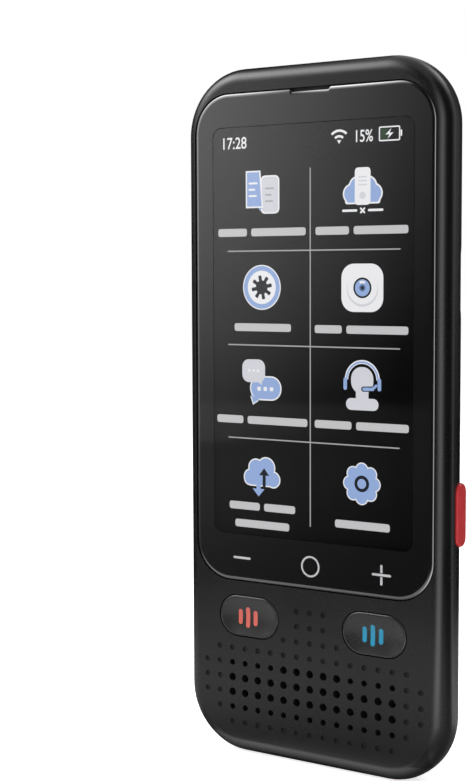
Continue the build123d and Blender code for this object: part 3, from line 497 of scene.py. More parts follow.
@dataclass(frozen=True)
class Housing(Moulded):
    """Moulded housing whose outer skin is shaded by the exact form: a slab with rounded edges."""

    size: Pair = (64.3, 150.4)
    corner: float = 14.2
    half: float = 5.8
    front_round: float = 3.4
    back_round: float = 7.2
    off_skin: Pair = (0.01, 0.03)
    agreement: Pair = (0.9, 0.96)

    def surface(self, graph: Graph) -> Wire:
        """Points from the nearest rounding's centre line, where the mesh lies on that skin.

        In the plane of the face the direction is the gradient of the distance to the rounded
        outline. How far a point lies outward in its rounding and how far to the front or back,
        both as shares of the radius, make a unit vector on the skin. The mesh's own normal is
        kept off the skin and where it points another way.

        Args:
            graph: The graph.

        Returns:
            The normal.
        """
        x, y, z = graph.axes(graph.place())
        up = z - self.size[1] / 2
        across, along = past_centres(x, up, self.size, self.corner)
        far = across.hypot(along).maths("MAXIMUM", TINY)
        front = y + (self.half - self.front_round)
        back = y - (self.half - self.back_round)
        behind = y.maths("GREATER_THAN", (self.back_round - self.front_round) / -2)
        front_out = (far - self.corner + self.front_round) / self.front_round
        back_out = (far - self.corner + self.back_round) / self.back_round
        out = (front_out + (back_out - front_out) * behind).maths("MAXIMUM", 0.0)
        depth = front.maths("MINIMUM", 0.0) / self.front_round
        depth = depth + back.maths("MAXIMUM", 0.0) / self.back_round
        flat = out / far
        parts = {0: x.maths("SIGN") * across * flat, 1: depth, 2: up.maths("SIGN") * along * flat}
        own = {0: graph.out("CombineXYZ", 0, parts)}
        turn = {"vector_type": "VECTOR", "convert_from": "OBJECT", "convert_to": "WORLD"}
        exact = graph.out("VectorTransform", 0, own, **turn)
        length = graph.vector("LENGTH", exact, output=1)
        mesh = graph.node("NewGeometry").outputs
        agree = graph.vector("DOT_PRODUCT", exact, Wire(graph, mesh["True Normal"]), output=1)
        share = (1 - abs(length - 1).step(*self.off_skin)) * agree.step(*self.agreement)
        ends = {0: share, 4: Wire(graph, mesh["Normal"]), 5: exact}
        return graph.vector("NORMALIZE", graph.out("Mix", 1, ends, data_type="VECTOR"))


@dataclass(frozen=True)
class Perforated(Housing):
    """Moulded plastic whose small recesses get painted shade and dust: a dark matt shader mixed in
    there.
    """

    face: float = -5.8
    reach: float = 28.0
    low: float = 4.0
    high: float = 38.0
    soft: float = 0.5
    sunk: Pair = (0.02, 0.12)
    # The share and colour of the painted shade and dust in the recesses.
    shade_and_dust_share: float = 0.75
    dust: Colour = (0.006, 0.006, 0.006)

    def shade(self, graph: Graph) -> Wire:
        """Goes matt and dark just behind the front face, inside the speaker field: painted shade in
        the recesses, with dust.

        Args:
            graph: The empty graph.

        Returns:
            The finished shader.
        """
        x, y, z = graph.axes(graph.place())
        inside = 1 - abs(x).step(self.reach, self.reach + self.soft)
        inside = inside * z.step(self.low, self.low + self.soft)
        inside = inside * (1 - z.step(self.high - self.soft, self.high))
        sunk = y.step(*(self.face + depth for depth in self.sunk)) * inside
        # This dark matt shader is painted shade in the recesses as well as dust.
        dust = graph.principled(Base_Color=self.dust, Roughness=0.85, Specular_IOR_Level=0.1)
        return graph.mix(sunk * self.shade_and_dust_share, super().shade(graph), dust)


@dataclass(frozen=True)
class Pixels(Finish):
    """The dark face of a display that is switched on: a fine grid of dots with no glare."""

    colour: Colour = (0.005, 0.005, 0.0054)
    dots: float = 0.11
    lift: float = 1.35

    def shade(self, graph: Graph) -> Wire:
        """Dots across both axes, just lighter than the lines between them.

        Args:
            graph: The empty graph.

        Returns:
            The finished shader.
        """
        across, along = graph.waves("COSINE", self.dots)
        wave = across * along
        return graph.principled(
            Base_Color=(wave * 0.5 + 0.5).blend(self.colour, tint(self.colour, self.lift)),
            Roughness=0.45 + wave * 0.05,
            Specular_IOR_Level=0.04,
        )


@dataclass(frozen=True)
class Lit(Finish):
    """A lit mark of the display, broken up by its fine grid of dots."""

    colour: Colour
    dots: float = 0.11
    dim: float = 0.94

    def shade(self, graph: Graph) -> Wire:
        """Dots that are a little darker at their edges.

        Args:
            graph: The empty graph.

        Returns:
            The finished shader.
        """
        across, along = graph.waves("COSINE", self.dots)
        wave = across * along
        return graph.principled(
            Base_Color=DULL,
            Roughness=0.5,
            Specular_IOR_Level=0.04,
            Emission_Color=(wave * 0.5 + 0.5).blend(tint(self.colour, self.dim), self.colour),
            Emission_Strength=1.0,
        )


@dataclass(frozen=True)
class Printed(Finish):
    """Screen-printed ink with a slightly uneven edge and sheen."""

    colour: Colour
    roughness: float = 0.45
    least: float = 0.86

    def shade(self, graph: Graph) -> Wire:
        """Small pinholes and thin places in the ink.

        Args:
            graph: The empty graph.

        Returns:
            The finished shader.
        """
        place = graph.place()
        thin = graph.noise(place, 0.35, detail=3.0)
        return graph.principled(
            Base_Color=thin.step(0.3, 0.6).blend(tint(self.colour, self.least), self.colour),
            Roughness=self.roughness + (thin - 0.5) * 0.2,
            Normal=graph.bump(graph.noise(place, 0.12), 0.003),
        )


@dataclass(frozen=True)
class Glass(Finish):
    """Cover glass: black print behind its border and a clear window over the display."""

    pane_centre: float
    pane_size: Pair
    pane_radius: float
    window_centre: float
    window_size: Pair
    window_radius: float = 2.2
    ior: float = 1.5
    edge_ior: float = 1.85
    edge: float = 0.8
    edge_soft: float = 0.1
    edge_rough: float = 0.08
    seam: float = 0.02
    line: float = 0.2
    line_soft: Pair = (0.25, 0.6)
    line_share: float = 0.7
    sheen: float = 0.04
    smear: float = 0.03
    print_dark: Colour = (0.0038, 0.0038, 0.004)
    print_light: Colour = (0.0055, 0.0055, 0.0058)

    def shade(self, graph: Graph) -> Wire:
        """Coated front, bare polished edge, window by Fresnel and a matt hairline round it.

        Args:
            graph: The empty graph.

        Returns:
            The finished shader.
        """
        place = graph.place()
        x, _, z = graph.axes(place)
        pane = rounded_window(x, z, self.pane_centre, self.pane_size, self.pane_radius)
        window = rounded_window(x, z, self.window_centre, self.window_size, self.window_radius)
        smears = graph.noise(place, 18.0, detail=4.0, roughness=0.65)
        rough = self.sheen + smears.step(0.5, 0.8) * self.smear
        tone = graph.noise(place, 0.5, detail=2.0).blend(self.print_dark, self.print_light)
        border = graph.principled(Base_Color=tone, Roughness=rough, IOR=self.ior)
        bare = rough + self.edge_rough
        rim = graph.principled(Base_Color=tone, Roughness=bare, IOR=self.edge_ior)
        gloss = graph.out("BsdfGlossy", 0, {"Color": WHITE, "Roughness": rough})
        clear = graph.out("BsdfTransparent", 0, {"Color": WHITE})
        lens = graph.mix(graph.out("Fresnel", 0, {"IOR": self.ior}), clear, gloss)
        front = graph.mix(1 - window.step(-self.seam, self.seam), border, lens)
        dull = graph.principled(Base_Color=DULL, Roughness=0.7, Specular_IOR_Level=0.05)
        hairline = 1 - abs(window).step(*(self.line * share for share in self.line_soft))
        lined = graph.mix(hairline * self.line_share, front, dull)
        return graph.mix(pane.step(-self.edge, self.edge_soft - self.edge), lined, rim)


@dataclass(frozen=True)
class Metal(Finish):
    """Plated or brushed metal with fine lines along one axis."""

    colour: Colour
    roughness: float = 0.25
    stretch: tuple[float, float, float] = (1.0, 1.0, 12.0)
    lines: float = 0.5
    least: float = 0.85

    def shade(self, graph: Graph) -> Wire:
        """Lines by noise on a squeezed coordinate; stains over millimetres.

        Args:
            graph: The empty graph.

        Returns:
            The finished shader.
        """
        place = graph.place()
        squeezed = graph.vector("MULTIPLY", place, self.stretch)
        lines = graph.noise(squeezed, self.lines * 3, detail=3.0)
        stains = graph.noise(place, 3.0, detail=2.0)
        return graph.principled(
            Base_Color=stains.step(0.3, 0.7).blend(tint(self.colour, self.least), self.colour),
            Metallic=1.0,
            Roughness=self.roughness + (lines - 0.5) * 0.2,
            Normal=graph.bump(lines, 0.002),
        )


@dataclass(frozen=True)
class Laminate(Finish):
    """Circuit board: solder mask over copper tracks, with bare gold pads."""

    mask: Colour = (0.006, 0.03, 0.022)
    track: Colour = (0.012, 0.055, 0.04)
    pads: Colour = (0.75, 0.55, 0.22)
    pitch: float = 0.9
    pad_pitch: float = 2.6
    block: float = 5.0

    def shade(self, graph: Graph) -> Wire:
        """Tracks along both axes, broken by noise, and a scatter of round pads.

        Args:
            graph: The empty graph.

        Returns:
            The finished shader.
        """
        place = graph.place()
        x, _, z = graph.axes(place)
        blocks = graph.noise(place, self.block, detail=1.0).step(0.49, 0.51)
        along = (x / self.pitch).maths("FRACT")
        across = (z / self.pitch).maths("FRACT")
        lines = abs(blocks * along + (1 - blocks) * across - 0.5).step(0.14, 0.18)
        pads = 1 - graph.cells(place, self.pad_pitch).step(0.16, 0.2)
        board = graph.principled(
            Base_Color=lines.blend(self.track, self.mask),
            Roughness=0.35,
            Normal=graph.bump(1 - lines, 0.02),
        )
        gold = graph.principled(Base_Color=self.pads, Metallic=1.0, Roughness=0.3)
        return graph.mix(pads, board, gold)


@dataclass(frozen=True)
class Film(Finish):
    """Stretched film or foil wrap with small wrinkles."""

    colour: Colour
    roughness: float = 0.35
    metallic: float = 0.0
    least: float = 0.88

    def shade(self, graph: Graph) -> Wire:
        """Shallow creases by ridged noise.

        Args:
            graph: The empty graph.

        Returns:
            The finished shader.
        """
        place = graph.place()
        crease = abs(graph.noise(place, 7.0, detail=4.0, roughness=0.6) - 0.5) * 2
        return graph.principled(
            Base_Color=graph.noise(place, 12.0).blend(tint(self.colour, self.least), self.colour),
            Roughness=self.roughness + crease * 0.15,
            Metallic=self.metallic,
            Normal=graph.bump(crease, 0.08),
        )


@dataclass(frozen=True)
class Foam(Finish):
    """Closed-cell foam or rubber."""

    colour: Colour
    cell: float = 0.25
    least: float = 0.55

    def shade(self, graph: Graph) -> Wire:
        """Round pores over soft dents, darker in their middles with painted shade.

        Args:
            graph: The empty graph.

        Returns:
            The finished shader.
        """
        pores = graph.cells(graph.place(), self.cell)
        # The darker colour in the pores is painted shade.
        return graph.principled(
            Base_Color=pores.step(0.1, 0.5).blend(tint(self.colour, self.least), self.colour),
            Roughness=0.9 - pores * 0.1,
            Normal=graph.bump(pores, 0.05),
        )


@dataclass(frozen=True)
class Woven(Finish):
    """Fine wire or thread mesh in a plain weave."""

    colour: Colour
    pitch: float = 0.22
    metallic: float = 0.0
    least: float = 0.08

    def shade(self, graph: Graph) -> Wire:
        """Crossing threads; the gaps between them go dark with painted shade.

        Args:
            graph: The empty graph.

        Returns:
            The finished shader.
        """
        warp, weft = graph.waves("SINE", self.pitch)
        height = warp.maths("MAXIMUM", weft) * 0.5 + 0.5
        # The darker colour in the gaps between the threads is painted shade.
        return graph.principled(
            Base_Color=height.step(0.45, 0.8).blend(tint(self.colour, self.least), self.colour),
            Roughness=0.55 - height * 0.1,
            Metallic=self.metallic,
            Normal=graph.bump(height, 0.05),
        )


@dataclass(frozen=True)
class Coated(Finish):
    """Coated lens: rings of violet and blue round a dark pupil, under a clear gloss."""

    centre: Pair
    radius: float = 2.4
    violet: Colour = (0.15, 0.035, 0.5)
    blue: Colour = (0.02, 0.27, 0.8)
    rim: Colour = (0.004, 0.004, 0.007)
    rim_start: Pair = (0.78, 0.95)
    pupil: Colour = (0.003, 0.002, 0.012)
    pupil_end: Pair = (0.2, 0.5)

    def shade(self, graph: Graph) -> Wire:
        """Colour by distance from the axis, tilted a little so that it isn't even.

        Args:
            graph: The empty graph.

        Returns:
            The finished shader.
        """
        x, _, z = graph.axes(graph.place())
        across, up = x - self.centre[0], z - self.centre[1]
        far = across.hypot(up) / self.radius
        side = (across * 0.5 - up * 0.5) / self.radius + 0.5
        coat = side.step(0.1, 0.9).blend(self.violet, self.blue)
        ringed = far.step(*self.rim_start).blend(coat, self.rim)
        return graph.principled(
            Base_Color=(1 - far.step(*self.pupil_end)).blend(ringed, self.pupil),
            Roughness=0.06 + far * 0.04,
            Coat_Weight=1.0,
            Coat_Roughness=0.02,
        )


@dataclass(frozen=True)
class Window(Finish):
    """Small clear pane over the camera."""

    ior: float = 1.45
    gloss: Colour = (0.85, 0.9, 1.0)
    clear: Colour = (0.9, 0.92, 0.95)
    dust: Colour = (0.3, 0.3, 0.3)
    dust_pitch: float = 1.4
    dust_size: Pair = (0.015, 0.04)
    dust_share: float = 0.3

    def shade(self, graph: Graph) -> Wire:
        """Clear by Fresnel, with dust that dulls it in specks.

        Args:
            graph: The empty graph.

        Returns:
            The finished shader.
        """
        gloss = graph.out("BsdfGlossy", 0, {"Color": self.gloss, "Roughness": 0.03})
        clear = graph.out("BsdfTransparent", 0, {"Color": self.clear})
        pane = graph.mix(graph.out("Fresnel", 0, {"IOR": self.ior}), clear, gloss)
        shade_and_dust_share = 1 - graph.cells(graph.place(), self.dust_pitch).step(*self.dust_size)
        speck = graph.principled(Base_Color=self.dust, Roughness=0.8)
        return graph.mix(shade_and_dust_share * self.dust_share, pane, speck)


class Look(Enum):
    """The finishes that the CAD nodes wear."""

    # FRONT and BACK are one black plastic in two tones: the rear shell is painted lighter, as light
    # on the rear and its sides.
    FRONT = Perforated((0.0045, 0.0045, 0.0046), roughness=0.3, specular=0.285, polish=0.05)
    BACK = Housing((0.0075, 0.0075, 0.0077), roughness=0.3, specular=0.285, polish=0.05)
    KEY = Moulded(
        (0.012, 0.012, 0.0124), roughness=0.3, specular=0.35, grain=0.12, depth=0.003, polish=0.05
    )
    RED_BAR = Moulded((0.42, 0.075, 0.055), roughness=0.4, grain=0.1, depth=0.003)
    BLUE_BAR = Moulded((0.004, 0.18, 0.3), roughness=0.4, grain=0.1, depth=0.003)
    RED_KEY = Moulded((0.5, 0.02, 0.025), roughness=0.4, specular=0.35, grain=0.1, depth=0.003)
    CARD = Moulded((0.42, 0.42, 0.44), roughness=0.45, grain=0.2, depth=0.003)
    FRAME = Moulded((0.02, 0.02, 0.021), roughness=0.6, grain=0.3, depth=0.01)
    RING = Moulded((0.012, 0.012, 0.0135), roughness=0.22, grain=0.08, depth=0.001, polish=0.05)
    SHROUD = Moulded((0.03, 0.03, 0.033), roughness=0.5, specular=0.4, grain=0.1, depth=0.002)
    PANE = Window()
    LENS = Coated((-1.8, 133.6))
    PANEL = Pixels()
    BOARD = Laminate()
    STEEL = Metal((0.55, 0.56, 0.58), roughness=0.3)
    GOLD = Metal((0.75, 0.56, 0.25), roughness=0.25)
    MAGNET = Metal((0.4, 0.41, 0.43), roughness=0.2, stretch=(1.0, 1.0, 1.0))
    WRAP = Film((0.35, 0.36, 0.38), roughness=0.3, metallic=0.8)
    FLEX = Film((0.28, 0.12, 0.02), roughness=0.4)
    TAPE = Foam((0.02, 0.02, 0.02), cell=0.15)
    RUBBER = Foam((0.03, 0.03, 0.032), cell=0.12)
    CONE = Film((0.02, 0.02, 0.022), roughness=0.55)
    CLOTH = Woven((0.02, 0.02, 0.022))
    WIRE_CLOTH = Woven((0.03, 0.03, 0.033), pitch=0.16, metallic=0.3)


WORN_BY: dict[Look, tuple[str, ...]] = {
    Look.FRONT: ("front_shell",),
    Look.BACK: ("rear_shell",),
    Look.KEY: ("talk_key_left", "talk_key_right"),
    Look.RED_BAR: ("talk_bars_left",),
    Look.BLUE_BAR: ("talk_bars_right",),
    Look.RED_KEY: ("side_key",),
    Look.CARD: ("card",),
    Look.FRAME: (
        "chassis",
        "speaker_frame",
        "side_plunger",
        "talk_plunger_left",
        "talk_plunger_right",
    ),
    Look.RING: ("camera_ring",),
    Look.SHROUD: ("camera_shroud", "camera_module", "usb_tongue"),
    Look.PANE: ("camera_pane",),
    Look.LENS: ("camera_lens",),
    Look.PANEL: ("display_panel",),
    Look.BOARD: ("main_board", "io_board", "side_board", "cell_board", "antenna"),
    Look.STEEL: (
        "shield_can_front",
        "shield_can_rear",
        "card_socket",
        "usb_shell",
        "display_pan",
        "board_screws",
        "chassis_screws",
    ),
    Look.GOLD: ("top_microphone", "bottom_microphone"),
    Look.MAGNET: ("speaker_magnet", "side_switch", "talk_switches"),
    Look.WRAP: ("battery",),
    Look.FLEX: ("link_flex", "display_tail"),
    Look.TAPE: ("glass_tape", "battery_tape", "battery_pad", "speaker_gasket"),
    Look.RUBBER: ("top_mic_boot", "bottom_mic_boot"),
    Look.CONE: ("speaker_cone",),
    Look.CLOTH: ("speaker_mesh",),
    Look.WIRE_CLOTH: ("sound_mesh",),
}


# ---- meshes --------------------------------------------------------------------------------


def mesh_object(
    name: str,
    points: np.ndarray,
    faces: Sequence[Sequence[int]],
    material: bpy.types.Material,
    smooth: Union[bool, np.ndarray] = False,
) -> bpy.types.Object:
    """Makes a mesh object at the origin from points in millimetres.

    Args:
        name: The object's name.
        points: One row of three numbers for each vertex.
        faces: The vertex numbers of each face.
        material: Its material.
        smooth: Whether the faces are smooth, for all or for each.

    Returns:
        The new object.
    """
    mesh = bpy.data.meshes.new(name)
    mesh.from_pydata((points * MM).tolist(), [], [list(face) for face in faces])
    mesh.polygons.foreach_set("use_smooth", np.full(len(faces), smooth, bool))
    mesh.materials.append(material)
    mesh.update()
    made = bpy.data.objects.new(name, mesh)
    bpy.context.scene.collection.objects.link(made)
    return made


def lofted(loops: np.ndarray) -> tuple[np.ndarray, list[list[int]]]:
    """Joins closed loops by strips, and closes the first loop with one face.

    A point has its loop and its place in the loop as parameters, and a face of a strip takes two
    neighbours in one loop and the same two in the next.

    Args:
        loops: The points by loop and by place.

    Returns:
        The points in rows, and the faces, of which the first one is the closed loop.
    """
    rows, count = loops.shape[:2]
    grid = np.arange(rows * count).reshape(rows, count)
    near, far = grid[:-1], grid[1:]
    quads = np.stack((near, far, np.roll(far, -1, 1), np.roll(near, -1, 1)), 2).reshape(-1, 4)
    return loops.reshape(-1, 3), [grid[0].tolist(), *quads.tolist()]


def rounded(
    x: float, z: float, width: float, height: float, radius: float, steps: int = 8
) -> np.ndarray:
    """Outline of a rounded rectangle, anticlockwise from the right side's lower corner.

    Each corner is a quarter circle about its own centre, so a point is that centre plus the
    radius along the corner's angle.

    Args:
        x: The middle across.
        z: The middle height.
        width: The full width.
        height: The full height.
        radius: The corner radius.
        steps: The number of chords in each corner.

    Returns:
        The outline, one row of x and z for each point.
    """
    turn = np.linspace(0, math.pi / 2, steps + 1)
    angles = (np.arange(4)[:, None] * (math.pi / 2) - math.pi / 2 + turn[None, :]).ravel()
    signs = np.array([(1, -1), (1, 1), (-1, 1), (-1, -1)], float)
    corner = np.repeat(signs, steps + 1, axis=0)
    middle = corner * (width / 2 - radius, height / 2 - radius)
    return middle + radius * np.stack((np.cos(angles), np.sin(angles)), 1) + (x, z)


def circle(x: float, z: float, radius: float, steps: int = 40) -> np.ndarray:
    """Outline of a circle: a point is the middle plus the radius along its angle.

    Args:
        x: The middle across.
        z: The middle height.
        radius: The radius.
        steps: The number of chords.

    Returns:
        The outline.
    """
    angles = np.arange(steps) * (math.tau / steps)
    return np.stack((x + radius * np.cos(angles), z + radius * np.sin(angles)), 1)


def capsule(start: Pair, end: Pair, width: float, steps: int = 8) -> np.ndarray:
    """Outline of a straight stroke with round ends.

    Each end is half a circle about its own middle, turned to the stroke's heading.

    Args:
        start: The first end's middle.
        end: The other end's middle.
        width: The stroke's width.
        steps: The number of chords at each end.

    Returns:
        The outline.
    """
    first, last = np.array(start, float), np.array(end, float)
    heading = math.atan2(*(last - first)[::-1])
    turn = np.linspace(-math.pi / 2, math.pi / 2, steps + 1) + heading
    cap = np.stack((np.cos(turn), np.sin(turn)), 1) * (width / 2)
    return np.concatenate((last + cap, first - cap))


def band(
    x: float, z: float, radius: float, width: float, start: float, end: float, steps: int = 28
) -> np.ndarray:
    """Outline of an arc-shaped stroke.

    It runs along the outer radius from the first angle to the last, and back along the inner one.

    Args:
        x: The arc's centre across.
        z: The arc's centre height.
        radius: The radius of its middle line.
        width: The stroke's width.
        start: The first angle in degrees.
        end: The last angle in degrees.
        steps: The number of chords.

    Returns:
        The outline.
    """
    angles = np.radians(np.linspace(start, end, steps + 1))
    ray = np.stack((np.cos(angles), np.sin(angles)), 1)
    outer, inner = ray * (radius + width / 2), ray[::-1] * (radius - width / 2)
    return np.concatenate((outer, inner)) + (x, z)


@dataclass
class GlassCover:
    """The cover glass: a flat front with a rounded edge and a notch for the earpiece.

    Each side of the notch has points at the notch steps, counted outward from its middle line.
    """

    width: float = 58.6
    height: float = 106.1
    bottom: float = 38.86
    radius: float = 8.6
    front: float = -5.8
    thickness: float = 1.1
    edge_width: float = 0.85
    edge_depth: float = 0.34
    notch_width: float = 9.4
    notch_depth: float = 0.6
    notch_steps: tuple[float, ...] = (0.3, 0.1, -0.1, -0.3)
    window: Pair = (49.2, 88.5)
    window_bottom: float = 49.2
    corner_steps: int = 20
    edge_steps: int = 8

    @property
    def centre(self) -> float:
        """The height of the middle."""
        return self.bottom + self.height / 2

    def loop(self, inset: float, depth: float) -> np.ndarray:
        """One loop round the glass.

        A point is the outline's point moved inward by the inset, and down by the notch, whose
        depth rises smoothly over the span of its steps at each side.

        Args:
            inset: The distance from the outline in millimetres.
            depth: The distance behind the front.

        Returns:
            The loop's points.
        """
        size = self.width - 2 * inset, self.height - 2 * inset
        around = rounded(0, self.centre, *size, self.radius - inset, self.corner_steps)
        top = self.centre + self.height / 2 - inset
        side = self.notch_width / 2 + np.array(self.notch_steps)
        across = np.concatenate((side, -side[::-1]))
        edge = np.stack((across, np.full(len(across), top)), 1)
        around = np.insert(around, 2 * (self.corner_steps + 1), edge, axis=0)
        reach, rise = side[0], self.notch_steps[0] - self.notch_steps[-1]
        share = np.clip((reach - np.abs(around[:, 0])) / rise, 0, 1)
        drop = self.notch_depth * share * share * (3 - 2 * share)
        around[:, 1] -= np.where(around[:, 1] > top - TINY, drop, 0)
        return np.insert(around, 1, self.front + depth, axis=1)

    def build(self) -> bpy.types.Object:
        """Makes the glass from loops along its edge: a quarter ellipse, then a straight side.

        Returns:
            The glass object.
        """
        turn = np.linspace(0, math.pi / 2, self.edge_steps + 1)
        insets = np.append(self.edge_width * (1 - np.sin(turn)), 0.0)
        depths = np.append(self.edge_depth * (1 - np.cos(turn)), self.thickness)
        loops = np.array([self.loop(inset, depth) for inset, depth in zip(insets, depths)])
        points, faces = lofted(loops)
        finish = Glass(
            pane_centre=self.centre,
            pane_size=(self.width, self.height),
            pane_radius=self.radius,
            window_centre=self.window_bottom + self.window[1] / 2,
            window_size=self.window,
            edge=self.edge_width,
        )
        strips = np.arange(len(faces)) > 0
        material = finish.material("cover_glass")
        glass = mesh_object("glass_cover", points, faces, material, smooth=strips)
        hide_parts("cover_glass")
        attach(glass, body_of("cover_glass"))
        return glass


def slot_of(node: str) -> str:
    """The record's material slot of a CAD node.

    Args:
        node: The node's name.

    Returns:
        The slot's name.
    """
    parts = frame["record"]["subparts"]
    return next(part["material_slot"] for part in parts if part["node"] == node)


def body_of(node: str) -> str:
    """The body that a CAD node rides on.

    Args:
        node: The node's name.

    Returns:
        The body's name.
    """
    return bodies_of(frame["nodes"][node])[0]


# ---- display -------------------------------------------------------------------------------


class Ink(Enum):
    """The colours of the display's picture."""

    WHITE = (0.86, 0.86, 0.88)
    BLUE = (0.3, 0.42, 0.71)
    PALE = (0.66, 0.67, 0.72)
    LINE = (0.42, 0.42, 0.42)
    WORD = (0.56, 0.56, 0.57)
    MARK = (0.36, 0.36, 0.37)
    DARK = (0.012, 0.014, 0.018)
    LENS = (0.12, 0.19, 0.36)
    GREEN = (0.02, 0.05, 0.022)


@dataclass
class Sheet:
    """Flat shapes on a plane, gathered by colour and stacked by level."""

    plane: float = -4.72
    rise: float = 0.004
    weight: float = 0.01
    parts: dict[Ink, list[tuple[np.ndarray, list[list[int]]]]] = field(default_factory=dict)

    def add(self, ink: Ink, level: int, *outlines: np.ndarray) -> None:
        """Adds filled outlines.

        Args:
            ink: Their colour.
            level: How many layers they lie above the plane.
            outlines: Their points.
        """
        for outline in outlines:
            self.faces(ink, level, outline, [list(range(len(outline)))])

    def faces(self, ink: Ink, level: int, flat: np.ndarray, faces: list[list[int]]) -> None:
        """Adds any flat mesh.

        Args:
            ink: Its colour.
            level: Its layer.
            flat: Its points, x and z.
            faces: Its faces.
        """
        depth = np.full(len(flat), self.plane - level * self.rise)
        points = np.stack((flat[:, 0], depth, flat[:, 1]), 1)
        self.parts.setdefault(ink, []).append((points, faces))

    def ring(self, ink: Ink, level: int, outer: np.ndarray, inner: np.ndarray) -> None:
        """Adds the strip between two outlines of equal length.

        Args:
            ink: Its colour.
            level: Its layer.
            outer: The outer outline.
            inner: The inner one.
        """
        count = len(outer)
        here = np.arange(count)
        after = np.roll(here, -1)
        quads = np.stack((here, after, after + count, here + count), 1)
        self.faces(ink, level, np.concatenate((outer, inner)), quads.tolist())

    def number(
        self, ink: Ink, level: int, text: str, corner: Pair, height: float, squeeze: float
    ) -> None:
        """Adds digits from the built-in font.

        Args:
            ink: Their colour.
            level: Their layer.
            text: The digits.
            corner: Their left end and their lower edge.
            height: The height of a digit.
            squeeze: Their width as a share of the font's own.
        """
        curve = bpy.data.curves.new("digits", "FONT")
        curve.body = text
        curve.offset = self.weight
        holder = bpy.data.objects.new("digits", curve)
        bpy.context.scene.collection.objects.link(holder)
        bpy.context.view_layer.update()
        drawn = holder.evaluated_get(bpy.context.evaluated_depsgraph_get())
        mesh = bpy.data.meshes.new_from_object(drawn)
        points = np.empty(len(mesh.vertices) * 3)
        mesh.vertices.foreach_get("co", points)
        flat = points.reshape(-1, 3)[:, :2]
        flat = (flat - flat.min(0)) * (height / np.ptp(flat[:, 1]))
        faces = [list(face.vertices) for face in mesh.polygons]
        self.faces(ink, level, flat * (squeeze, 1.0) + corner, faces)
        bpy.data.objects.remove(holder)
        bpy.data.curves.remove(curve)
        bpy.data.meshes.remove(mesh)

    def build(
        self, name: str, finish_of: type[Finish], body: str, slot: str
    ) -> list[bpy.types.Object]:
        """Makes one mesh for each colour.

        Args:
            name: The start of each mesh's name.
            finish_of: The finish that each colour is given to.
            body: The body that the meshes ride on.
            slot: Their material slot; not used.

        Returns:
            The new objects.
        """
        made = []
        for ink, parts in self.parts.items():
            starts = np.cumsum([0] + [len(points) for points, _ in parts])
            pairs = [(start, face) for start, (_, faces) in zip(starts, parts) for face in faces]
            faces = [[corner + start for corner in face] for start, face in pairs]
            points = np.concatenate([points for points, _ in parts])
            title = f"{name}_{ink.name.lower()}"
            piece = mesh_object(title, points, faces, finish_of(ink.value).material(title))
            made.append(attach(piece, body))
        return made


@dataclass(frozen=True)
class Label:
    """A line of blank words: its ends, its height and how long each word is beside the others."""

    left: float
    right: float
    height: float
    words: tuple[int, ...]


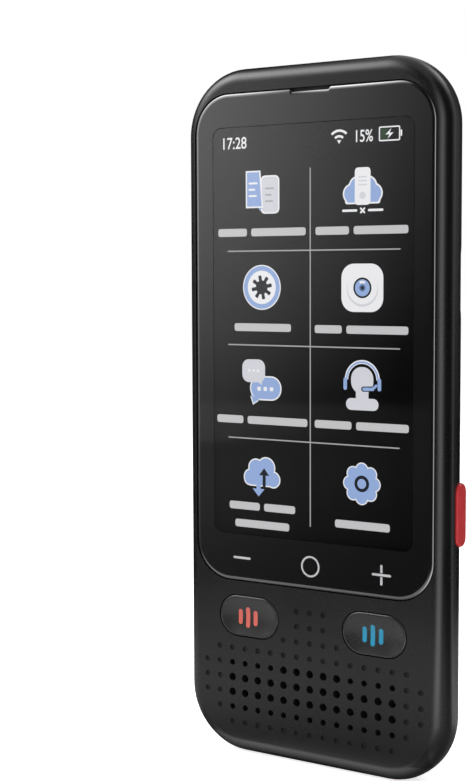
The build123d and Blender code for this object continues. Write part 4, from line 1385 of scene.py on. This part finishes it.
@dataclass
class Picture:
    """What the display shows: a status line, a grid of eight pictograms and their labels."""

    split: float = -0.5
    rows: tuple[float, ...] = (111.1, 90.75, 70.33)
    grid_left: float = -21.4
    grid_right: float = 20.8
    grid_bottom: float = 52.3
    grid_top: float = 128.3
    hair: float = 0.26
    rim: float = 0.34
    word_gap: float = 1.1
    word_height: float = 1.7
    word_radius: float = 0.55
    labels: tuple[Label, ...] = (
        Label(-24.0, -1.6, 115.1, (6, 11)),
        Label(0.8, 22.7, 115.1, (7, 11)),
        Label(-19.8, -5.3, 94.6, (9,)),
        Label(0.6, 22.8, 94.5, (5, 11)),
        Label(-24.5, -1.2, 74.4, (5, 11)),
        Label(0.6, 23.0, 74.4, (8, 11)),
        Label(-21.3, -4.3, 55.4, (7, 7)),
        Label(-19.8, -5.8, 51.5, (10,)),
        Label(5.6, 18.7, 53.5, (7,)),
    )
    sheet: Sheet = field(default_factory=Sheet)

    def grid(self) -> None:
        """Draws the lines between the pictograms."""
        lines = [((self.grid_left, row), (self.grid_right, row)) for row in self.rows]
        lines.append(((self.split, self.grid_bottom), (self.split, self.grid_top)))
        for start, end in lines:
            self.sheet.add(Ink.LINE, 1, capsule(start, end, self.hair))

    def status(self) -> None:
        """Draws the clock, the signal arcs, the charge number and the battery."""
        add, base, middle = self.sheet.add, 133.1, 134.5
        self.sheet.number(Ink.WHITE, 1, "17:28", (-22.6, base), height=2.55, squeeze=0.86)
        self.sheet.number(Ink.WHITE, 1, "15%", (10.5, base), height=2.5, squeeze=0.78)
        for radius in (1.35, 2.5):
            add(Ink.WHITE, 1, band(6.5, 133.2, radius, 0.5, 45, 135))
        add(Ink.WHITE, 1, np.array([(6.5, 132.95), (7.0, 133.75), (6.0, 133.75)]))
        case, inside = (4.9, 3.0, 0.35), (4.34, 2.44, 0.12)
        outer, inner = (rounded(18.3, middle, *size) for size in (case, inside))
        self.sheet.ring(Ink.WHITE, 1, outer, inner)
        add(Ink.GREEN, 1, rounded(17.1, middle, 1.7, 2.1, 0.1))
        add(Ink.WHITE, 1, rounded(21.0, middle, 0.35, 1.3, 0.15))
        left = [(18.7, 135.55), (17.35, 134.3), (18.25, 134.35)]
        right = [(17.9, 133.45), (19.25, 134.7), (18.35, 134.65)]
        add(Ink.WHITE, 2, np.array(left + right))

    def words(self) -> None:
        """Draws each label as a row of blank word bars."""
        for label in self.labels:
            spare = label.right - label.left - self.word_gap * (len(label.words) - 1)
            left = label.left
            for share in label.words:
                width = spare * share / sum(label.words)
                size = width, self.word_height, self.word_radius
                self.sheet.add(Ink.WORD, 1, rounded(left + width / 2, label.height, *size))
                left += width + self.word_gap

    def rimmed(self, level: int, fill: Ink, draw: Callable[[float], np.ndarray]) -> None:
        """Draws a shape over a white copy that is larger by the rim.

        Shapes that meet on the same levels look like one shape with one rim.

        Args:
            level: The layer of the rim.
            fill: The colour inside.
            draw: Gives the shape's outline for a growth in millimetres.
        """
        self.sheet.add(Ink.WHITE, level, draw(self.rim))
        self.sheet.add(fill, level + 1, draw(0.0))

    def blob(self, x: float, z: float, radius: float, share: float = 1.0, steps: int = 40) -> None:
        """Draws a blue disc with a white rim.

        Args:
            x: The middle across.
            z: The middle height.
            radius: The radius inside the rim.
            share: The rim's width as a share of the usual one.
            steps: The number of chords.
        """
        self.rimmed(1, Ink.BLUE, lambda grow: circle(x, z, radius + grow * share, steps))

    def discs(self, x: float, z: float, level: int, *layers: tuple[Ink, float]) -> None:
        """Stacks discs about one middle.

        Args:
            x: The middle across.
            z: The middle height.
            level: The layer of the first disc.
            layers: Each disc's colour and radius.
        """
        for rise, (ink, radius) in enumerate(layers):
            self.sheet.add(ink, level + rise, circle(x, z, radius))

    def pages(self) -> None:
        """Two overlapping pages with lines on them."""
        add, front, back = self.sheet.add, -15.8, -11.6
        self.rimmed(
            1,
            Ink.PALE,
            lambda grow: rounded(-10.55, 123.1, 4.1 + 2 * grow, 7.5 + 2 * grow, 0.8 + grow),
        )
        page = np.array([(-16.5, 128.05), (-13.2, 128.05), (-12.55, 120.55), (-16.5, 120.55)])
        out = np.array([(-1, 1), (1, 1), (1, -1), (-1, -1)])
        self.rimmed(3, Ink.BLUE, lambda grow: page + out * (grow - 0.1))
        add(Ink.BLUE, 2, np.array([(-13.6, 120.6), (-12.4, 120.6), (-13.1, 119.6)]))
        for step, width in enumerate((1.9, 1.3, 1.7)):
            high = 125.6 - step * 1.35
            low = high - 1.2
            add(Ink.WHITE, 5, capsule((front, high), (front + width, high), 0.42))
            add(Ink.LINE, 5, capsule((back, low), (back + width, low), 0.38))

    def offline(self) -> None:
        """A small device in front of a cloud, over a broken line."""
        add, x = self.sheet.add, 12.1
        upper = ((11.0, 124.0, 1.9), (13.3, 124.0, 1.9))
        for place in ((9.5, 122.6, 1.75), (14.7, 122.6, 1.75), *upper):
            self.blob(*place)
        self.rimmed(
            1,
            Ink.BLUE,
            lambda grow: rounded(x, 121.7, 7.6 + 2 * grow, 1.8 + 2 * grow, 0.5),
        )
        add(Ink.WHITE, 3, rounded(x, 124.1, 3.7, 7.7, 0.8))
        for step in range(3):
            height = 126.0 - step * 0.8
            add(Ink.PALE, 4, capsule((11.25, height), (12.95, height), 0.3))
        add(Ink.PALE, 4, circle(x, 122.2, 0.75))
        for side in (-1, 1):
            add(Ink.WHITE, 1, capsule((x + side * 1.5, 119.15), (x + side * 4.6, 119.15), 0.5))
            add(Ink.WHITE, 1, capsule((x - side * 0.42, 118.7), (x + side * 0.42, 119.55), 0.4))

    def record(self) -> None:
        """A record button: a ring, a disc and a toothed middle, whose radius swings eight times."""
        x, z = -12.7, 103.25
        self.discs(x, z, 1, (Ink.WHITE, 4.85), (Ink.BLUE, 4.6), (Ink.WHITE, 3.6))
        angles = np.linspace(0, math.tau, 241)[:-1]
        reach = 2.05 + 0.55 * np.tanh(4 * np.sin(angles * 8))
        gear = np.stack((x + reach * np.cos(angles), z + reach * np.sin(angles)), 1)
        self.sheet.add(Ink.DARK, 4, gear)

    def lens_tile(self) -> None:
        """A rounded tile with a lens."""
        add, x, z = self.sheet.add, 12.1, 103.2
        add(Ink.WHITE, 1, rounded(12.05, z, 9.9, 10.0, 2.9))
        add(Ink.PALE, 2, circle(x, 103.0, 3.7))
        add(Ink.WHITE, 3, circle(x, 103.35, 3.55))
        self.discs(x, z, 4, (Ink.DARK, 2.15), (Ink.BLUE, 1.75), (Ink.LENS, 0.75), (Ink.DARK, 0.4))
        add(Ink.WHITE, 7, band(x, z, 1.2, 0.5, 60, 120))

    def bubbles(self) -> None:
        """Two speech bubbles with dots."""
        add, front = self.sheet.add, (-11.75, 81.45)
        tail = np.array([(-15.6, 80.0), (-13.4, 79.0), (-14.9, 78.1)])
        add(Ink.WHITE, 1, rounded(*front, 8.1, 5.3, 2.6), tail + (-0.15, -0.35))
        add(Ink.BLUE, 2, rounded(*front, 7.5, 4.7, 2.3), tail)
        notch = np.array([(-14.6, 83.4), (-12.6, 83.4), (-12.75, 82.1)])
        add(Ink.PALE, 3, rounded(-14.85, 85.15, 5.9, 5.0, 1.7), notch)
        for step in range(3):
            add(Ink.WHITE, 4, rounded(-13.45 + step * 1.6, 81.3, 0.85, 0.85, 0.15))
            add(Ink.WHITE, 4, rounded(-15.95 + step * 1.1, 85.2, 0.55, 0.55, 0.12))

    def listener(self) -> None:
        """A plain bust with a headset."""
        add, x, ears = self.sheet.add, 12.1, 84.1
        add(Ink.PALE, 1, rounded(x, 84.0, 5.3, 5.6, 2.5), rounded(x, 80.9, 3.0, 2.6, 0.7))
        add(Ink.PALE, 1, rounded(x, 79.0, 7.7, 2.5, 1.2))
        add(Ink.WHITE, 1, band(x, ears, 3.75, 0.8, 0, 180))
        add(Ink.BLUE, 2, band(x, ears, 3.7, 0.4, 0, 180))
        for side in (x - 4.05, x + 4.05):
            add(Ink.BLUE, 3, capsule((side, 82.3), (side, ears), 0.85))
        add(Ink.DARK, 2, capsule((12.4, 82.2), (14.8, 82.3), 1.1))
        add(Ink.BLUE, 3, capsule((12.5, 82.2), (14.6, 82.25), 0.7))
        add(Ink.BLUE, 3, capsule((14.6, 82.25), (15.4, 83.0), 0.55))

    def packages(self) -> None:
        """A cloud with an arrow up and an arrow down."""
        add, thin = self.sheet.add, 0.8
        upper = ((-14.3, 64.0, 1.75), (-11.7, 64.1, 2.1), (-16.0, 61.5, 1.2))
        for place in ((-15.7, 61.9, 1.55), (-9.9, 61.6, 1.6), *upper):
            self.blob(*place, thin)
        self.rimmed(
            1,
            Ink.BLUE,
            lambda grow: rounded(-12.9, 61.6, 7.4 + 2 * grow * thin, 2.8 + 2 * grow * thin, 1.2),
        )
        add(Ink.DARK, 3, capsule((-12.2, 60.0), (-12.2, 62.8), 0.8))
        add(Ink.DARK, 3, np.array([(-13.5, 62.4), (-10.9, 62.4), (-12.2, 64.0)]))
        add(Ink.BLUE, 4, rounded(-13.65, 60.1, 1.1, 2.4, 0.1))
        add(Ink.BLUE, 4, np.array([(-15.2, 59.4), (-13.65, 57.7), (-12.1, 59.4)]))

    def settings(self) -> None:
        """A plain wheel with eight petals."""
        x, z, reach, petals = 12.05, 62.35, 2.9, 8
        for turn in range(petals):
            angle = turn * math.tau / petals
            middle = x + reach * math.cos(angle), z + reach * math.sin(angle)
            self.blob(*middle, radius=1.35, share=0.7, steps=24)
        self.discs(x, z, 2, (Ink.BLUE, reach), (Ink.DARK, 1.75), (Ink.BLUE, 1.05))

    def build(self) -> list[bpy.types.Object]:
        """Draws everything and makes the meshes.

        Returns:
            One object for each colour.
        """
        drawings = (self.grid, self.status, self.words, self.pages, self.offline, self.record)
        drawings += (self.lens_tile, self.bubbles, self.listener, self.packages, self.settings)
        for draw in drawings:
            draw()
        return self.sheet.build("picture", Lit, body_of("display_panel"), slot_of("display_panel"))


@dataclass
class TouchMarks:
    """The three marks printed on the glass below the display."""

    height: float = 43.8
    apart: float = 17.35
    minus_raise: float = 0.15
    ring_x: float = 0.15
    reach: float = 2.0
    plane: float = -5.806
    ring_radius: float = 2.3
    stroke: float = 0.52

    def build(self) -> list[bpy.types.Object]:
        """Draws the minus, the ring and the plus.

        Returns:
            The marks as one object in a list.
        """
        sheet = Sheet(plane=self.plane, rise=0.0)
        bar = capsule((-self.reach, 0.0), (self.reach, 0.0), self.stroke)
        minus = bar + (-self.apart, self.height + self.minus_raise)
        sheet.add(Ink.MARK, 0, minus, bar + (self.apart, self.height))
        radii = self.ring_radius, self.ring_radius - self.stroke * 0.8
        sheet.ring(Ink.MARK, 0, *(circle(self.ring_x, self.height, radius) for radius in radii))
        post = rounded(0.0, 0.0, self.stroke, self.reach - self.stroke / 2, 0.1)
        side = (self.reach + self.stroke) / 2
        for height in (self.height + side, self.height - side):
            sheet.add(Ink.MARK, 0, post + (self.apart, height))
        return sheet.build("touch_marks", Printed, body_of("cover_glass"), slot_of("cover_glass"))


# ---- studio --------------------------------------------------------------------------------


@dataclass(frozen=True)
class PaleFloor(Finish):
    """Pale matt floor that keeps a soft shadow and clears to white elsewhere."""

    colour: Colour = (0.8, 0.8, 0.8)
    lift: float = 0.72
    mottle: float = 0.985
    cloud: float = 400.0
    gloss: float = 0.3

    def shade(self, graph: Graph) -> Wire:
        """A matt sheet, and a lift for what the camera, gloss and glass see.

        Args:
            graph: The empty graph.

        Returns:
            The finished shader.
        """
        clouds = graph.noise(graph.place(), self.cloud, detail=2.0)
        tone = clouds.blend(tint(self.colour, self.mottle), self.colour)
        sheet = graph.principled(Base_Color=tone, Roughness=0.9, Specular_IOR_Level=0.1)
        glow = graph.out("Emission", 0, {"Color": WHITE, "Strength": self.lift})
        dark = graph.out("Emission", 0, {"Color": (0.0, 0.0, 0.0), "Strength": 0.0})
        lifted = graph.mix(graph.seen(self.gloss), dark, glow)
        return graph.out("AddShader", 0, {0: sheet, 1: lifted})


@dataclass(frozen=True)
class Glow(Finish):
    """The face of a softbox, brightest in its middle and clear at its edge."""

    strength: float
    size: Pair
    plateau: float = 0.0

    def shade(self, graph: Graph) -> Wire:
        """Falls off smoothly from the middle to the edge.

        Args:
            graph: The empty graph.

        Returns:
            The finished shader.
        """
        flat = graph.vector("DIVIDE", graph.place(), (*self.size, 1.0))
        share = 1 - graph.vector("LENGTH", flat, output=1).step(self.plateau, 1.0)
        clear = graph.out("BsdfTransparent", 0, {"Color": WHITE})
        light = graph.out("Emission", 0, {"Color": WHITE, "Strength": self.strength})
        return graph.mix(share, clear, light)


@dataclass(frozen=True)
class PaintedReflectionSheet(Finish):
    """Painted reflections on a sheet over the floor that only gloss rays see: the lights' mirror
    images drawn as fans of emission, and a painted bounce strip.
    """

    reach: float = 3600.0
    fade: float = 0.8
    fans: tuple[tuple[float, float, float], ...] = ((37.0, 26.0, 4.5), (131.0, 18.0, 1.0))
    fan_start: Pair = (32.0, 80.0)
    haze: tuple[float, float, float] = (-50.0, 33.0, 0.55)
    haze_start: Pair = (60.0, 520.0)
    apron: float = 1.3
    apron_start: Pair = (5.0, 75.0)
    apron_end: Pair = (125.0, 190.0)
    apron_front: Pair = (-20.0, 40.0)
    apron_back: float = 0.3
    painted_bounce: float = 3.6
    strip_y: float = -10.0
    strip_deep: float = 6.0
    strip_wide: Pair = (14.0, 40.0)

    @staticmethod
    def fan(turn: Wire, far: Wire, shape: tuple[float, float, float], start: Pair) -> Wire:
        """Paints reflected light on the sheet round one azimuth.

        Args:
            turn: The azimuth in degrees.
            far: The distance from the object.
            shape: The fan's azimuth, half its width and its strength.
            start: The distances where it begins and where it is full.

        Returns:
            The fan's brightness.
        """
        centre, width, strength = shape
        return (1 - abs(turn - centre).step(0.0, width)) * far.step(*start) * strength

    def shade(self, graph: Graph) -> Wire:
        """Painted reflections: each fan depends on the azimuth; the strip lies just in front of the
        object.

        Args:
            graph: The empty graph.

        Returns:
            The finished shader.
        """
        x, y, _ = graph.axes(graph.place())
        turn = x.maths("ARCTAN2", y * -1) * (180 / math.pi)
        far = x.hypot(y)
        glow = self.fan(turn, far, self.haze, self.haze_start)
        for shape in self.fans:
            glow = glow + self.fan(turn, far, shape, self.fan_start)
        front = (y * -1).step(*self.apron_front) * (1 - self.apron_back) + self.apron_back
        apron = far.step(*self.apron_start) * (1 - far.step(*self.apron_end)) * front
        strip = 1 - abs(y - self.strip_y).step(0.0, self.strip_deep)
        strip = strip * (1 - abs(x).step(*self.strip_wide))
        # Fans, haze, apron and strip are painted reflections: emission that only gloss rays see.
        glow = glow + apron * self.apron + strip * self.painted_bounce
        clear = graph.out("BsdfTransparent", 0, {"Color": WHITE})
        tone = graph.out("CombineXYZ", 0, {axis: glow for axis in range(3)})
        light = graph.out("Emission", 0, {"Color": tone, "Strength": 1.0})
        return graph.mix(1 - far.step(self.reach * self.fade, self.reach), clear, light)


def heading(azimuth: float, elevation: float) -> Vector:
    """Unit vector that points away from the object.

    It is the sine and the negative cosine of the azimuth, both times the cosine of the
    elevation, and the elevation's sine.

    Args:
        azimuth: The turn in degrees from straight in front, to the right.
        elevation: The angle in degrees above the floor.

    Returns:
        The vector.
    """
    a, e = math.radians(azimuth), math.radians(elevation)
    return Vector((math.sin(a) * math.cos(e), -math.cos(a) * math.cos(e), math.sin(e)))


@dataclass(frozen=True)
class Panel:
    """A soft light or a dark card that faces the object, as large as its angles from there."""

    name: str
    azimuth: float
    elevation: float
    across: float
    along: float
    strength: float
    distance: float = 1.8
    plateau: float = 0.0
    spokes: int = 48
    rings: int = 7
    hub: float = 0.1

    def build(self, centre: Vector) -> bpy.types.Object:
        """Makes the panel as a disc of rings: a point is a share of the size along its angle.

        Args:
            centre: The point that it faces.

        Returns:
            The panel object.
        """
        spans = self.across, self.along
        size = tuple(self.distance * math.tan(math.radians(span)) / MM for span in spans)
        angles = np.arange(self.spokes) * (math.tau / self.spokes)
        radii = np.linspace(self.hub, 1.0, self.rings)[:, None]
        x, y = radii * np.cos(angles) * size[0], radii * np.sin(angles) * size[1]
        points, faces = lofted(np.stack((x, y, np.zeros_like(x)), 2))
        finish = Glow(self.strength, size, self.plateau)
        panel = mesh_object(self.name, points, faces, finish.material(self.name))
        away = heading(self.azimuth, self.elevation)
        panel.location = centre + away * self.distance
        panel.rotation_mode = "QUATERNION"
        panel.rotation_quaternion = away.to_track_quat("Z", "Y")
        panel.visible_camera = False
        panel.visible_shadow = False
        return panel


@dataclass
class Studio:
    """Floor, world, softboxes and camera."""

    centre: Vector = field(default_factory=lambda: Vector((0.0, 0.0, 0.075)))
    floor_reach: float = 4.0
    floor_level: float = -0.1
    gloss_level: float = -0.05
    world_level: float = 0.35
    image: tuple[int, int] = (466, 781)
    focal_pixels: float = 1538.93
    sensor: float = 36.0
    near_clip: float = 0.01
    yaw: float = 34.032
    pitch: float = 4.346
    roll: float = -0.234
    aim: Vector = field(default_factory=lambda: Vector((-16.867, -9.797, 81.107)) * MM)
    distance: float = 0.331885
    panels: tuple[Panel, ...] = (
        Panel("light_left", -47.0, 15.0, 28.0, 29.0, 3.3, distance=0.6),
        Panel("light_front", 37.0, 10.0, 26.0, 38.0, 4.5, distance=0.7),
        Panel("light_top", -58.0, 42.0, 34.0, 33.0, 12.5, distance=0.8),
        Panel("light_back", 150.0, 52.0, 26.0, 24.0, 5.0),
        Panel("card_front", -20.0, 5.0, 66.0, 60.0, 0.0, distance=0.9, plateau=0.8),
        Panel("card_right", 80.0, 8.0, 36.0, 58.0, 0.0, distance=0.75, plateau=0.85),
        Panel("card_left", -122.0, 5.0, 38.0, 55.0, 0.0, distance=0.75, plateau=0.7),
        Panel("card_back", 176.0, 0.0, 30.0, 55.0, 0.06, plateau=0.6),
    )

    def sheets(self) -> list[bpy.types.Object]:
        """Makes the floor as one flat square just under the object, and the sheet of painted
        reflections on it.

        Returns:
            The two sheets.
        """
        reach = self.floor_reach / MM
        square = np.array([(-reach, -reach), (reach, -reach), (reach, reach), (-reach, reach)])
        points = np.insert(square, 2, self.floor_level, axis=1)
        floor = mesh_object("floor", points, [[0, 1, 2, 3]], PaleFloor().material("floor"))
        finish = PaintedReflectionSheet()
        points = np.insert(circle(0.0, 0.0, finish.reach, 64), 2, self.gloss_level, axis=1)
        material = finish.material("gloss_sheet")
        sheet = mesh_object("gloss_sheet", points, [range(len(points))], material)
        # This sheet is painted reflection: only gloss rays see its emission.
        sheet.visible_camera = False
        sheet.visible_diffuse = False
        sheet.visible_shadow = False
        return [floor, sheet]

    def world(self) -> None:
        """Lights the scene evenly, and shows white to the camera, gloss and glass."""
        world = bpy.data.worlds.new("studio")
        bpy.context.scene.world = world
        world.use_nodes = True
        graph = Graph(world.node_tree)
        light = graph.out("Background", 0, {"Color": WHITE, "Strength": self.world_level})
        white = graph.out("Background", 0, {"Color": WHITE, "Strength": 1.0})
        graph.end(graph.mix(graph.seen(), light, white), "OutputWorld")

    def camera(self) -> None:
        """Sets the camera from the focal length in pixels and the direction to the object."""
        yaw, roll = math.radians(self.yaw), math.radians(self.roll)
        back = heading(self.yaw, self.pitch)
        right = Vector((math.cos(yaw), math.sin(yaw), 0.0))
        up = back.cross(right)
        turned = right * math.cos(roll) + up * math.sin(roll)
        upright = up * math.cos(roll) - right * math.sin(roll)
        data = bpy.data.cameras.new("camera")
        data.sensor_width = self.sensor
        data.lens = self.focal_pixels * self.sensor / max(self.image)
        data.clip_start = self.near_clip
        eye = bpy.data.objects.new("camera", data)
        axes = Matrix((turned, upright, back)).transposed().to_4x4()
        eye.matrix_world = Matrix.Translation(self.aim + back * self.distance) @ axes
        bpy.context.scene.collection.objects.link(eye)
        bpy.context.scene.camera = eye

    def build(self) -> list[bpy.types.Object]:
        """Makes the whole studio.

        Returns:
            Its sheets and panels.
        """
        made = self.sheets()
        self.world()
        made += [panel.build(self.centre) for panel in self.panels]
        self.camera()
        bpy.context.scene.view_settings.view_transform = "Standard"
        return made


# ---- assembly ------------------------------------------------------------------------------


def dress(nodes: dict[str, bpy.types.Object]) -> None:
    """Gives every CAD node its finish.

    Args:
        nodes: The CAD nodes by name.
    """
    for look, names in WORN_BY.items():
        material = look.value.material(look.name.lower())
        for name in names:
            slots = nodes[name].data.materials
            slots.clear()
            slots.append(material)
            LOG.info("%s wears %s", name, material.name)
    dressed = {name for names in WORN_BY.values() for name in names}
    bare = sorted(set(nodes) - dressed - {"cover_glass"})
    if bare:
        LOG.warning("nodes without a finish: %s", ", ".join(bare))


def main() -> None:
    """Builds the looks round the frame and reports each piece."""
    logging.basicConfig(level=logging.INFO)
    dress(frame["nodes"])
    made = [GlassCover().build(), *Picture().build(), *TouchMarks().build(), *Studio().build()]
    for piece in made:
        LOG.info("%s: %d faces", piece.name, len(piece.data.polygons))


if __name__ == "__main__":
    main()
